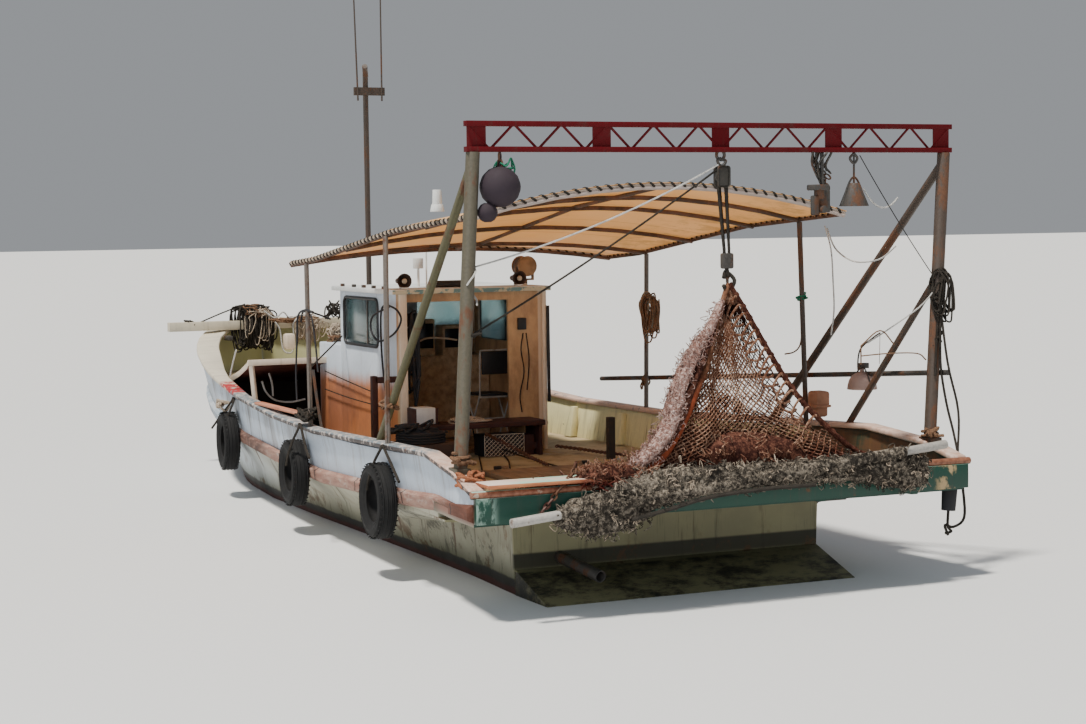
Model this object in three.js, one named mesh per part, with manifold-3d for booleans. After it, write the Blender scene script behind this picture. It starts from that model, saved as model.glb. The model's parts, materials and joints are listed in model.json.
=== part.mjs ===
// A small stern trawler for inshore work, moored empty, with her net hung in the stern gallows.
// Millimetres. +X is the bow, +Y is port, +Z is up.
// The origin is on the centreline at the waterline, near mid length.
import * as THREE from 'three';
import { mergeVertices } from 'three/addons/utils/BufferGeometryUtils.js';
import Module from 'manifold-3d';

const wasm = await Module();
wasm.setup();

// Driving dimensions
const SEAT = 0.3; // gap between faces that touch
const DECK = 550; // working deck above the waterline
const FOREDECK = 950;
const FOREDECK_AFT = 1900; // where the deck steps up
const STEP_TOP = FOREDECK_AFT + 20;
const TRANSOM = -5457;
const STERN = -6386; // aft face of the platform
const WALL = 60; // bulwark thickness
const CAP = { overhang: 30, thickness: 40, aftWidth: 120, bowWidth: 230 };
const STRAKE = { depth: 45, height: 120 };
const GALLOWS = {
  x: -6000, halfWidth: 1800, foot: 945, top: 2970, beamTop: 3167, lean: -119, radius: 45,
};
const SHELTER = { aft: -5416, fore: -1564, halfWidth: 1490, sheet: 10, pipe: 16 };
const HOUSE = { aft: -1915, fore: -456, halfWidth: 664, roof: 1930, wall: 40, roofDepth: 40 };
const CASING = { fore: 150, top: 1440 };
const HOOD = { aft: -50, fore: 1850, top: 1310, slope: 0.158, thickness: 55, pad: 1225 };
const SHAFT = { z: -420, inner: -4400, radius: 18, propX: -4760, propRadius: 225 };
const RUDDER = { x: -5100, top: -190, bottom: -740, fore: -4990, aft: -5380, stock: 22, pintle: 16 };

// Hull stations from the transom to the stem, each half breadth and height in mm
const COLUMNS = [
  'x', 'gunY', 'gunZ', 'sideY', 'sideZ', 'chineY', 'chineZ', 'waterY', 'bilgeY', 'bilgeZ', 'keelZ',
];
const HULL = [
  [-5457, 1772, 970, 1690, 535, 1204, 510, 1185, 1050, -70, -100],
  [-4600, 1715, 925, 1650, 515, 1240, 400, 1135, 1010, -100, -140],
  [-3600, 1648, 885, 1600, 500, 1270, 300, 1115, 990, -180, -260],
  [-2400, 1570, 855, 1520, 490, 1250, 260, 1110, 980, -220, -370],
  [-1000, 1476, 863, 1430, 490, 1230, 265, 1115, 960, -240, -440],
  [300, 1387, 925, 1335, 500, 1180, 290, 1090, 900, -240, -480],
  [1300, 1305, 1020, 1230, 510, 1085, 320, 990, 780, -230, -500],
  [2100, 1210, 1122, 1085, 520, 940, 345, 840, 630, -220, -500],
  [3000, 1010, 1262, 830, 540, 680, 380, 585, 400, -200, -470],
  [3500, 790, 1352, 590, 560, 450, 400, 360, 230, -180, -420],
  [3850, 505, 1420, 340, 570, 250, 410, 190, 110, -150, -350],
  [4100, 210, 1460, 130, 580, 95, 420, 70, 40, -120, -280],
  [4200, 0, 1470, 0, 590, 0, 430, 0, 0, -110, -220],
].map((row) => Object.fromEntries(COLUMNS.map((name, i) => [name, row[i]])));
// Stations added on a smooth curve through the table, where the bow rounds in
const FAIRED = [1700, 2550, 2780, 3250, 3680, 3990];
const fairRow = (() => {
  const values = HULL.flatMap((row) => COLUMNS.map((name) => row[name]));
  const curve = new THREE.CubicInterpolant(HULL.map((row) => row.x), values, COLUMNS.length);
  return (x) => {
    const row = [...curve.evaluate(x)];
    return { ...Object.fromEntries(COLUMNS.map((name, i) => [name, row[i]])), x };
  };
})();
HULL.push(...FAIRED.map(fairRow));
HULL.sort((a, b) => a.x - b.x);

// The stem rakes aft below the gunwale, by this much at each level
const RAKE = { gun: 0, deck: 60, side: 150, chine: 200, water: 350, bilge: 500, keel: 800 };
// The bulwark runs on aft of the transom along the platform's sides
const QUARTER = [
  { x: -6326, gunY: 1850, gunZ: 815 },
  { x: -6000, gunY: 1835, gunZ: 900 },
  { x: -5400, gunY: 1770, gunZ: 970 },
];
const PLATFORM = { under: 620, top: 680, fore: -5340 };

const lerp = THREE.MathUtils.lerp;
const vec = (x, y, z) => new THREE.Vector3(x, y, z);
const steps = (from, to, count) => Array.from({ length: count + 1 }, (_, i) => lerp(from, to, i / count));

// Value of one column at x, on straight lines between stations
function along(rows, name, x) {
  const last = rows.length - 1;
  if (x <= rows[0].x) return rows[0][name];
  if (x >= rows[last].x) return rows[last][name];
  const i = rows.findIndex((row) => row.x >= x);
  const t = (x - rows[i - 1].x) / (rows[i].x - rows[i - 1].x);
  return lerp(rows[i - 1][name], rows[i][name], t);
}

const rakeShift = (x, level) => -RAKE[level] * (Math.max(0, x - 1000) / 3200) ** 2;

// Outer half breadth of the topsides at height z
function topsideY(station, z) {
  const t = (z - station.sideZ) / (station.gunZ - station.sideZ);
  return lerp(station.sideY, station.gunY, t);
}

// Outer half breadth anywhere on the side, aft of the transom too
function sideY(x, z) {
  if (x < TRANSOM) return along(QUARTER, 'gunY', x);
  return topsideY({
    sideY: along(HULL, 'sideY', x), sideZ: along(HULL, 'sideZ', x),
    gunY: along(HULL, 'gunY', x), gunZ: along(HULL, 'gunZ', x),
  }, z);
}

// Closed solid through rings of [x, y, z] points with the same count
function loft(rings, closeStart = true, closeEnd = true) {
  const count = rings[0].length;
  const positions = rings.flat().flat();
  const index = [];
  for (let r = 0; r < rings.length - 1; r += 1) {
    for (let i = 0; i < count; i += 1) {
      const a = r * count + i;
      const b = r * count + (i + 1) % count;
      index.push(a, b, a + count, b, b + count, a + count);
    }
  }
  const cover = (ring, first, flip) => {
    const points = ring.map(([x, y, z]) => vec(x, y, z));
    const normal = vec(0, 0, 0);
    points.forEach((p, i) => normal.add(p.clone().cross(points[(i + 1) % count])));
    const axis = ['x', 'y', 'z'].reduce(
      (m, n) => (Math.abs(normal[n]) > Math.abs(normal[m]) ? n : m), 'x',
    );
    const [p, q] = { x: ['y', 'z'], y: ['z', 'x'], z: ['x', 'y'] }[axis];
    const flat = points.map((v) => new THREE.Vector2(v[p], v[q]));
    const wound = THREE.ShapeUtils.isClockWise(flat);
    for (const [i, j, k] of THREE.ShapeUtils.triangulateShape(flat, [])) {
      const tri = [first + i, first + j, first + k];
      const area = flat[j].clone().sub(flat[i]).cross(flat[k].clone().sub(flat[i]));
      const same = (area < 0) === wound;
      index.push(...(same === flip ? tri.reverse() : tri));
    }
  };
  if (closeStart) cover(rings[0], 0, true);
  if (closeEnd) cover(rings.at(-1), (rings.length - 1) * count, false);
  const geometry = new THREE.BufferGeometry();
  geometry.setAttribute('position', new THREE.Float32BufferAttribute(positions, 3));
  geometry.setIndex(index);
  return outward(mergeVertices(geometry, 1e-3));
}

// Drops flat triangles and turns the faces so that the volume is positive
function outward(geometry) {
  const p = geometry.attributes.position;
  const kept = [];
  let volume = 0;
  for (let i = 0; i < geometry.index.count; i += 3) {
    const [a, b, c] = [0, 1, 2].map((k) => geometry.index.getX(i + k));
    if (a === b || b === c || a === c) continue;
    kept.push(a, b, c);
    const [u, v, w] = [a, b, c].map((k) => new THREE.Vector3().fromBufferAttribute(p, k));
    volume += u.dot(v.cross(w));
  }
  geometry.setIndex(volume < 0 ? kept.reverse() : kept);
  return geometry;
}

function toSolid(geometry) {
  const bare = geometry.clone();
  bare.deleteAttribute('normal');
  bare.deleteAttribute('uv');
  const merged = outward(mergeVertices(bare, 1e-3));
  const vertProperties = new Float32Array(merged.attributes.position.array);
  const triVerts = new Uint32Array(merged.index.array);
  return new wasm.Manifold(new wasm.Mesh({ numProp: 3, vertProperties, triVerts }));
}

function fromSolid(solid) {
  const mesh = solid.getMesh();
  const geometry = new THREE.BufferGeometry();
  const positions = [];
  for (let i = 0; i < mesh.numVert; i += 1) {
    positions.push(...mesh.vertProperties.slice(i * mesh.numProp, i * mesh.numProp + 3));
  }
  geometry.setAttribute('position', new THREE.Float32BufferAttribute(positions, 3));
  geometry.setIndex([...mesh.triVerts]);
  return geometry;
}

function join(...pieces) {
  const solids = pieces.flat().map(toSolid);
  return fromSolid(solids.reduce((sum, solid) => sum.add(solid)));
}

function cut(body, ...tools) {
  return fromSolid(tools.flat().map(toSolid).reduce((rest, tool) => rest.subtract(tool), toSolid(body)));
}

// Cut that keeps only the largest body left, so no sliver stays beyond a tool
function trim(body, ...tools) {
  const bodies = toSolid(cut(body, tools.flat())).decompose();
  return fromSolid(bodies.reduce((best, one) => (one.volume() > best.volume() ? one : best)));
}

// Basic shapes, each in its final place
function block([x0, x1], [y0, y1], [z0, z1]) {
  const geometry = new THREE.BoxGeometry(x1 - x0, y1 - y0, z1 - z0);
  return geometry.translate((x0 + x1) / 2, (y0 + y1) / 2, (z0 + z1) / 2);
}

function rod(from, to, radius, sides = 12, endRadius = radius) {
  const a = vec(...from);
  const b = vec(...to);
  const length = a.distanceTo(b);
  const geometry = new THREE.CylinderGeometry(endRadius, radius, length, sides);
  const turn = new THREE.Quaternion().setFromUnitVectors(vec(0, 1, 0), b.clone().sub(a).normalize());
  const middle = a.add(b).multiplyScalar(0.5);
  return geometry.applyQuaternion(turn).translate(middle.x, middle.y, middle.z);
}

// Bent pipe through points, all in a plane square to the vector across
function bentPipe(points, radius, across, sides = 6) {
  const side = vec(...across);
  const rings = points.map((p, i) => {
    const before = vec(...points[Math.max(0, i - 1)]);
    const up = vec(...points[Math.min(points.length - 1, i + 1)]).sub(before).normalize().cross(side);
    const angles = steps(0, Math.PI * 2, sides).slice(1);
    const spoke = (a) => side.clone().multiplyScalar(Math.cos(a)).addScaledVector(up, Math.sin(a));
    return angles.map((a) => vec(...p).addScaledVector(spoke(a), radius).toArray());
  });
  return loft(rings);
}

// Plate cut from an outline of [a, b] points; the plane says which axes they are
function plate(outline, plane, from, to) {
  const shape = new THREE.Shape(outline.map(([a, b]) => new THREE.Vector2(a, b)));
  const geometry = new THREE.ExtrudeGeometry(shape, { depth: to - from, bevelEnabled: false });
  if (plane === 'xz') return outward(mergeBare(geometry.rotateX(Math.PI / 2).translate(0, to, 0)));
  if (plane === 'yz') {
    const basis = new THREE.Matrix4().makeBasis(vec(0, 1, 0), vec(0, 0, 1), vec(1, 0, 0));
    return outward(mergeBare(geometry.applyMatrix4(basis).translate(from, 0, 0)));
  }
  return geometry.translate(0, 0, from);
}

function mergeBare(geometry) {
  const bare = geometry.clone();
  bare.deleteAttribute('normal');
  bare.deleteAttribute('uv');
  return mergeVertices(bare, 1e-3);
}

const mirrorY = (points) => points.map(([x, y, z]) => [x, -y, z]);

// Materials by finish
const finish = {
  white: new THREE.MeshStandardMaterial({ color: 0xc9ced2, roughness: 0.55 }),
  cream: new THREE.MeshStandardMaterial({ color: 0xb9b48c, roughness: 0.6 }),
  capCream: new THREE.MeshStandardMaterial({ color: 0xd8c7a6, roughness: 0.6 }),
  strakePink: new THREE.MeshStandardMaterial({ color: 0x8d6a5c, roughness: 0.75 }),
  green: new THREE.MeshStandardMaterial({ color: 0x1f7a5a, roughness: 0.6 }),
  rust: new THREE.MeshStandardMaterial({ color: 0x7a4a30, roughness: 0.85, metalness: 0.3 }),
  galvanised: new THREE.MeshStandardMaterial({ color: 0x6f675c, roughness: 0.6, metalness: 0.6 }),
  crimson: new THREE.MeshStandardMaterial({ color: 0x7a1018, roughness: 0.6, metalness: 0.2 }),
  canvas: new THREE.MeshStandardMaterial({ color: 0xc98f55, roughness: 0.9 }),
  net: new THREE.MeshStandardMaterial({ color: 0x8a5a3c, roughness: 1 }),
  netGrey: new THREE.MeshStandardMaterial({ color: 0x6d6a55, roughness: 1 }),
  rope: new THREE.MeshStandardMaterial({ color: 0x3a3128, roughness: 1 }),
  rubber: new THREE.MeshStandardMaterial({ color: 0x15161a, roughness: 0.8 }),
  iron: new THREE.MeshStandardMaterial({ color: 0x3b3a3a, roughness: 0.6, metalness: 0.7 }),
  bronze: new THREE.MeshStandardMaterial({ color: 0x8a6a3a, roughness: 0.4, metalness: 0.9 }),
  wood: new THREE.MeshStandardMaterial({ color: 0x9a8a72, roughness: 0.9 }),
};

const boat = new THREE.Group();

function add(name, geometry, material) {
  const mesh = new THREE.Mesh(outward(mergeBare(geometry)), material);
  mesh.name = name;
  boat.add(mesh);
  return mesh;
}

// Hull: one solid from keel to deck, with the pits for engine, fish hold and bow store
function hullRing(x, row, deck) {
  const at = (level, y, z) => [x + rakeShift(x, level), y, z];
  const starboard = [
    at('deck', topsideY(row, deck), deck),
    at('side', row.sideY, row.sideZ),
    at('chine', row.chineY, row.chineZ),
    at('water', row.waterY, 0),
    at('bilge', row.bilgeY, row.bilgeZ),
  ];
  const keel = at('keel', 0, row.keelZ);
  return [...mirrorY(starboard), keel, ...starboard.reverse()];
}

function hullStations() {
  const station = (x) => Object.fromEntries(COLUMNS.map((name) => [name, along(HULL, name, x)]));
  const xs = [...HULL.map((row) => row.x), FOREDECK_AFT, STEP_TOP].sort((a, b) => a - b);
  return xs.map((x) => hullRing(x, station(x), x < STEP_TOP ? DECK : FOREDECK));
}

const ENGINE_PIT = { x: [-1700, -620], y: [-420, 420], floor: -200 };
const FISH_HOLD = { x: [-4100, -3400], y: [-450, 450], floor: -60 };
const BOW_STORE = { x: [2350, 2850], y: [-250, 250], floor: 450 };
const SKEG = [
  [-5350, -805], [2200, -700], [2900, -560], [3350, -300], [3350, -180], [-4640, -80], [-4640, -765],
  [-5350, -765],
];
const knuckle = { radius: 12, lift: 54, half: 30, at: 350 };

function hingePost(x, y, deck) {
  const pin = rod(
    [x, y - knuckle.half, deck + knuckle.lift], [x, y + knuckle.half, deck + knuckle.lift],
    knuckle.radius, 8,
  );
  const foot = block(
    [x - 10, x + 10], [y - knuckle.half, y + knuckle.half], [deck - 5, deck + knuckle.lift],
  );
  return [pin, foot];
}

const HOLD_HINGE = { x: -3308, deck: DECK, at: 320 };
const STORE_HINGE = { x: 2288, deck: FOREDECK, at: 190 };
const RUNNING = 0.8; // radial clearance at shafts and pins
const stockBore = rod([RUDDER.x, 0, -300], [RUDDER.x, 0, -35], RUDDER.stock + RUNNING, 16);
const pintleBore = rod([RUDDER.x, 0, -820], [RUDDER.x, 0, -750], RUDDER.pintle + RUNNING, 16);
const shaftBore = rod([-4660, 0, SHAFT.z], [SHAFT.inner - 5, 0, SHAFT.z], SHAFT.radius + RUNNING, 12);
const pit = (p, deck) => block(p.x, p.y, [p.floor, deck + 50]);
const BITT = { x: -2887, y: -820, half: 28, top: 905 };

add('hull', cut(
  join(
    loft(hullStations(), true, false),
    plate(SKEG, 'xz', -45, 45),
    block([TRANSOM, PLATFORM.fore], [-1640, 1640], [530, PLATFORM.under - SEAT]),
    block(
      [BITT.x - BITT.half, BITT.x + BITT.half], [BITT.y - BITT.half, BITT.y + BITT.half],
      [DECK - 5, BITT.top],
    ),
    [HOLD_HINGE, STORE_HINGE].flatMap(
      (h) => [-1, 1].flatMap((s) => hingePost(h.x, s * (h.at + 61), h.deck)),
    ),
  ),
  pit(ENGINE_PIT, DECK), pit(FISH_HOLD, DECK), pit(BOW_STORE, FOREDECK), stockBore, pintleBore, shaftBore,
), finish.cream);

add('engine', block([-1600, -720], [-330, 330], [ENGINE_PIT.floor + SEAT, 480]), finish.iron);
add('engine_hatch', block([-1780, -560], [-560, 560], [DECK + SEAT, DECK + 35]), finish.wood);

// Bulwarks, caps and rubbing strakes, port by table and starboard by mirror
const bulwarkRows = [
  ...QUARTER.slice(0, 2).map((row) => ({ ...row, lowY: row.gunY, lowZ: PLATFORM.top })),
  { x: PLATFORM.fore, lowZ: PLATFORM.top },
  { x: PLATFORM.fore + 20, lowZ: DECK },
  ...HULL.slice(1).filter((row) => row.x < FOREDECK_AFT).map(({ x }) => ({ x, lowZ: DECK })),
  { x: FOREDECK_AFT, lowZ: DECK },
  { x: STEP_TOP, lowZ: FOREDECK },
  ...HULL.filter((row) => row.x > STEP_TOP).map(({ x }) => ({ x, lowZ: FOREDECK })),
].map((row) => ({
  gunY: along(HULL, 'gunY', row.x), gunZ: along(HULL, 'gunZ', row.x),
  lowY: sideY(row.x, row.lowZ), ...row,
}));
const BOW_TURN = STEP_TOP + 10; // forward of here the bulwark's thickness is square to its curve

// Moves a plan outline inwards by a width at each point, never past the centreline
function inset(points, width) {
  return points.map((p, i) => {
    const before = points[Math.max(0, i - 1)];
    const after = points[Math.min(points.length - 1, i + 1)];
    const across = p[0] < BOW_TURN ? 0 : after[1] - before[1];
    const t = new THREE.Vector2(after[0] - before[0], across).normalize();
    const d = typeof width === 'function' ? width(p[0]) : width;
    return [p[0] + t.y * d, Math.max(p[1] - t.x * d, SEAT / 2), p[2]];
  });
}

const clearCentre = (points) => points.map(([x, y, z]) => [x, Math.max(y, SEAT / 2), z]);

function bulwark(side) {
  const back = (x) => ([FOREDECK_AFT, STEP_TOP].includes(x) ? SEAT : 0);
  const low = bulwarkRows.map((r) => [r.x + rakeShift(r.x, 'deck') - back(r.x), r.lowY, r.lowZ + SEAT]);
  const top = bulwarkRows.map((r) => [r.x, r.gunY, r.gunZ]);
  const lines = [clearCentre(low), clearCentre(top), inset(top, WALL), inset(low, WALL)];
  lines[3].forEach((p, i) => { p[2] = low[i][2]; });
  return loft(bulwarkRows.map((_, i) => lines.map((line) => line[i]))).scale(1, side, 1);
}

function cap(side) {
  const rows = bulwarkRows.filter((r) => ![PLATFORM.fore + 20, FOREDECK_AFT, STEP_TOP].includes(r.x));
  const edge = rows.map((r) => [r.x, r.gunY, r.gunZ + SEAT]);
  const outer = inset(edge, -CAP.overhang);
  const width = (x) => lerp(CAP.aftWidth, CAP.bowWidth, THREE.MathUtils.smoothstep(x, 800, 2600));
  const inner = inset(outer, width);
  const lift = (line) => line.map(([x, y, z]) => [x, y, z + CAP.thickness]);
  const lines = [clearCentre(outer), lift(clearCentre(outer)), lift(inner), inner];
  return loft(rows.map((_, i) => lines.map((line) => line[i]))).scale(1, side, 1);
}

// Strake centre height along the side
const STRAKE_LINE = [
  [-6326, 705], [-5400, 660], [-4600, 605], [-3600, 570], [-2400, 515], [-1000, 530], [300, 570],
  [1300, 640],
  [1700, 679], [2100, 720], [2550, 769], [3000, 820], [3250, 850], [3500, 880], [3680, 901], [3850, 920],
  [3990, 937], [4100, 950], [4175, 960],
].map(([x, z]) => ({ x, z }));

function strake(side) {
  const half = STRAKE.height / 2;
  const line = (dz, out) => {
    const points = STRAKE_LINE.map(({ x, z }) => {
      const height = Math.max(z + dz, along(HULL, 'sideZ', x));
      const share = (FOREDECK + 500 - height) / 950;
      return [x + rakeShift(x, 'side') * share, Math.max(0, sideY(x, height)), z + dz];
    });
    return clearCentre(inset(points, -out));
  };
  const lines = [
    line(-half, SEAT * 2), line(-half * 0.6, STRAKE.depth), line(half * 0.6, STRAKE.depth),
    line(half, SEAT * 2),
  ];
  return loft(STRAKE_LINE.map((_, i) => lines.map((l) => l[i]))).scale(1, side, 1);
}

for (const [name, side] of [['port', 1], ['starboard', -1]]) {
  add(`bulwark_${name}`, bulwark(side), finish.white);
  add(`gunwale_cap_${name}`, cap(side), finish.capCream);
}

// A copy slightly larger in plan, so that what it cuts keeps a small gap to the real piece
const fatter = (geometry) => geometry.clone().scale(1.0002, 1.0004, 1);
const geometryOf = (name) => boat.getObjectByName(name).geometry;

// Stern platform, its fascia and rail, and the sloping plate below the transom
const platformKnee = (y) => plate([
  [TRANSOM - SEAT, 575], [TRANSOM - SEAT, 625], [-6250, 625], [-6250, 600],
], 'xz', y - 25, y + 25);
const PLATFORM_SIDE = [
  [-6325, 1849], [-6000, 1834], [TRANSOM - SEAT, 1774], [TRANSOM - SEAT, 1690],
  [PLATFORM.fore - SEAT, 1690],
];
const platformOutline = [...PLATFORM_SIDE, ...PLATFORM_SIDE.map(([x, y]) => [x, -y]).reverse()];
add('stern_platform', join(
  plate(platformOutline, 'xy', PLATFORM.under, PLATFORM.top),
  [-1500, -750, 750, 1500].map(platformKnee),
), finish.green);

for (const [name, side] of [['port', 1], ['starboard', -1]]) {
  const backing = [`bulwark_${name}`, 'hull', 'stern_platform'].map(geometryOf);
  const grown = backing.map(fatter);
  const tools = [
    ...backing, ...grown, grown[0].clone().translate(0, 0, -SEAT * 2),
    grown[1].clone().translate(0, 0, SEAT),
  ];
  add(`rub_strake_${name}`, trim(strake(side), tools), finish.strakePink);
}
const FASCIA = { fore: -6326.5, low: 640, top: 805, halfWidth: 1852, pipe: 25 };
add('stern_rail', join(
  block([STERN, FASCIA.fore], [-FASCIA.halfWidth, FASCIA.halfWidth], [FASCIA.low, FASCIA.top]),
  rod([-6356, -1880, FASCIA.top + 20], [-6356, 1880, FASCIA.top + 20], FASCIA.pipe, 12),
), finish.green);
add('stern_extension', plate([
  [TRANSOM - SEAT, 175], [-5970, 5], [-5970, -40], [TRANSOM - SEAT, -90],
], 'xz', -1190, 1190), finish.cream);
const EXHAUST = { root: [TRANSOM + 40, 858, 243], end: [-5960, 792, 170], radius: 42 };
add('exhaust_pipe', trim(
  rod(EXHAUST.root, EXHAUST.end, EXHAUST.radius, 12),
  rod([-5700, 824, 205], [-6000, 787, 164], EXHAUST.radius - 7, 12),
  geometryOf('hull').clone().translate(-SEAT, 0, 0),
), finish.iron);

// Gallows over the stern: two posts, a lattice beam and the braces
const leanAt = (z) => GALLOWS.lean * (z - GALLOWS.foot) / (GALLOWS.top - GALLOWS.foot);
const postPoint = (side, z) => [GALLOWS.x, side * GALLOWS.halfWidth + leanAt(z), z];
const postRod = (side, extra) => rod(
  postPoint(side, GALLOWS.foot), postPoint(side, GALLOWS.top - SEAT), GALLOWS.radius + extra, 14,
);
const capTop = (x) => along([...QUARTER, ...HULL.slice(1)], 'gunZ', x) + CAP.thickness + SEAT;

for (const [name, side] of [['port', 1], ['starboard', -1]]) {
  const foot = block(
    [-6070, -5930], side > 0 ? [1755, 1855] : [-1855, -1755], [GALLOWS.foot - 25, GALLOWS.foot + 15],
  );
  const beamSeat = block([-6200, -5800], [-2100, 2100], [GALLOWS.top - SEAT, GALLOWS.top + 200]);
  add(
    `gallows_post_${name}`, trim(join(postRod(side, 0), foot), fatterCap(name), beamSeat),
    finish.galvanised,
  );
}

// The cap raised by the seating gap, used to trim what stands on it
function fatterCap(name) {
  return geometryOf(`gunwale_cap_${name}`).clone().translate(0, 0, SEAT * 2);
}

const BEAM = { chord: 34, aft: -6030, fore: -5970, pitch: 165, gusset: 130, lacing: 9 };
function gallowsBeam() {
  const port = GALLOWS.halfWidth + GALLOWS.lean + 50;
  const starboard = -GALLOWS.halfWidth + GALLOWS.lean - 50;
  const span = [starboard, port];
  const pieces = [
    block([BEAM.aft, BEAM.fore], span, [GALLOWS.top, GALLOWS.top + BEAM.chord]),
    block([BEAM.aft, BEAM.fore], span, [GALLOWS.beamTop - BEAM.chord, GALLOWS.beamTop]),
  ];
  const plateX = [GALLOWS.x - 5, GALLOWS.x + 5];
  const tall = [GALLOWS.top + 5, GALLOWS.beamTop - 5];
  const gussets = [0, 0.25, 0.5, 0.75, 1].map((t) => lerp(port - 75, starboard + 75, t));
  gussets.forEach((y) => pieces.push(block(plateX, [y - BEAM.gusset / 2, y + BEAM.gusset / 2], tall)));
  const count = Math.round((port - starboard) / BEAM.pitch);
  const low = GALLOWS.top + BEAM.chord / 2;
  const high = GALLOWS.beamTop - BEAM.chord / 2;
  for (let i = 0; i < count; i += 1) {
    const [y0, y1] = [i, i + 1].map((n) => lerp(port, starboard, n / count));
    const [z0, z1] = i % 2 ? [low, high] : [high, low];
    pieces.push(rod([GALLOWS.x, y0, z0], [GALLOWS.x, y1, z1], BEAM.lacing, 6));
  }
  return join(pieces);
}
add('gallows_beam', gallowsBeam(), finish.crimson);

// Each brace runs from a height on its post down to a place on the cap
const BRACES = [
  { name: 'brace_port', side: 1, z: 2905, foot: [-3985, 1612], radius: 30, material: finish.galvanised },
  {
    name: 'brace_starboard_long', side: -1, z: 2905, foot: [-4130, -1612], radius: 30,
    material: finish.rust,
  },
  {
    name: 'brace_starboard_short', side: -1, z: 2105, foot: [-5085, -1705], radius: 25,
    material: finish.rust,
  },
];
function braceRod({ side, z, foot, radius }, extra) {
  const low = [...foot, capTop(foot[0]) - CAP.thickness / 2];
  return rod(postPoint(side, z), low, radius + extra, 12);
}
for (const brace of BRACES) {
  const capUnder = fatterCap(brace.side > 0 ? 'port' : 'starboard');
  add(brace.name, trim(braceRod(brace, 0), postRod(brace.side, SEAT), capUnder), brace.material);
}
const SIDE_BAR = { aft: [-6080, -1899, 1420], fore: [-1350, -1497, 1098], radius: 20 };
const sideBar = (extra) => rod(SIDE_BAR.aft, SIDE_BAR.fore, SIDE_BAR.radius + extra, 12);
add('side_bar', trim(sideBar(0), postRod(-1, SEAT)), finish.rust);

// Sun shelter: a canvas on arched pipes over the working deck
const SLOPE = [
  { x: SHELTER.aft, z: 2560, rise: 215 }, { x: -4016, z: 2474, rise: 175 },
  { x: -2165, z: 2245, rise: 120 }, { x: SHELTER.fore, z: 2205, rise: 110 },
];
function canvasZ(x, y) {
  const across = 1 - (y / SHELTER.halfWidth) ** 2;
  return along(SLOPE, 'z', x) + along(SLOPE, 'rise', x) * across;
}
function canvas() {
  const rings = SLOPE.map(({ x }) => {
    const under = steps(-SHELTER.halfWidth, SHELTER.halfWidth, 10).map((y) => [x, y, canvasZ(x, y)]);
    const over = under.map(([px, y, z]) => [px, y, z + SHELTER.sheet]).reverse();
    return [...under, ...over];
  });
  return loft(rings);
}
add('shelter_canvas', canvas(), finish.canvas);

const drop = SHELTER.pipe + 2;
const ribDrop = 6;
const edgeY = SHELTER.halfWidth - 20;
const ribEnd = edgeY + 8;
const ribZ = (x, y) => canvasZ(x, y) - drop - ribDrop;
// Where each rib's starboard and port ends are; the middle ones stand askew
const RIBS = [
  [-5400, -5400], [-4790, -4640], [-4100, -3850], [-3110, -2960], [-2298, -1980], [-1580, -1580],
];
function rib([starboard, port]) {
  const arch = steps(0, 1, 9).map((t) => {
    const [x, y] = [lerp(starboard, port, t), lerp(-ribEnd, ribEnd, t)];
    return [x, y, ribZ(x, y)];
  });
  return bentPipe(arch, SHELTER.pipe + 1, [1, 0, 0], 8);
}
function shelterFrame() {
  const run = (y) => bentPipe(
    SLOPE.map(({ x }) => [x * 0.999, y, canvasZ(x, y) - drop]), SHELTER.pipe, [0, 1, 0],
  );
  return join([-edgeY, 0, edgeY].map(run), RIBS.map(rib));
}
add('shelter_frame', trim(shelterFrame(), canvas().translate(0, 0, -SEAT)), finish.galvanised);

const POLES = [
  { name: 'shelter_pole_port_fore', foot: [-2188, 1535], top: [-1982, 1476] },
  { name: 'shelter_pole_port_aft', foot: [-4450, 1715], top: [-3852, 1483], against: 'brace_port' },
  { name: 'shelter_pole_starboard_fore', foot: [-2150, -1535], top: [-2296, -1476] },
  { name: 'shelter_pole_starboard_aft', foot: [-4670, -1600], top: [-4788, -1476] },
];
// Each pole is cut to the rib over it, and to the brace that it is tied to
for (const { name, foot, top, against } of POLES) {
  const high = ribZ(top[0], ribEnd) - SHELTER.pipe / 2;
  const pole = rod([...foot, capTop(foot[0]) - CAP.thickness / 2], [...top, high], 20, 10);
  const frame = geometryOf('shelter_frame').clone().translate(0, 0, -SEAT);
  const rest = against ? [braceRod(BRACES.find((brace) => brace.name === against), SEAT)] : [];
  add(name, trim(pole, fatterCap(foot[1] > 0 ? 'port' : 'starboard'), frame, rest), finish.galvanised);
}

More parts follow.
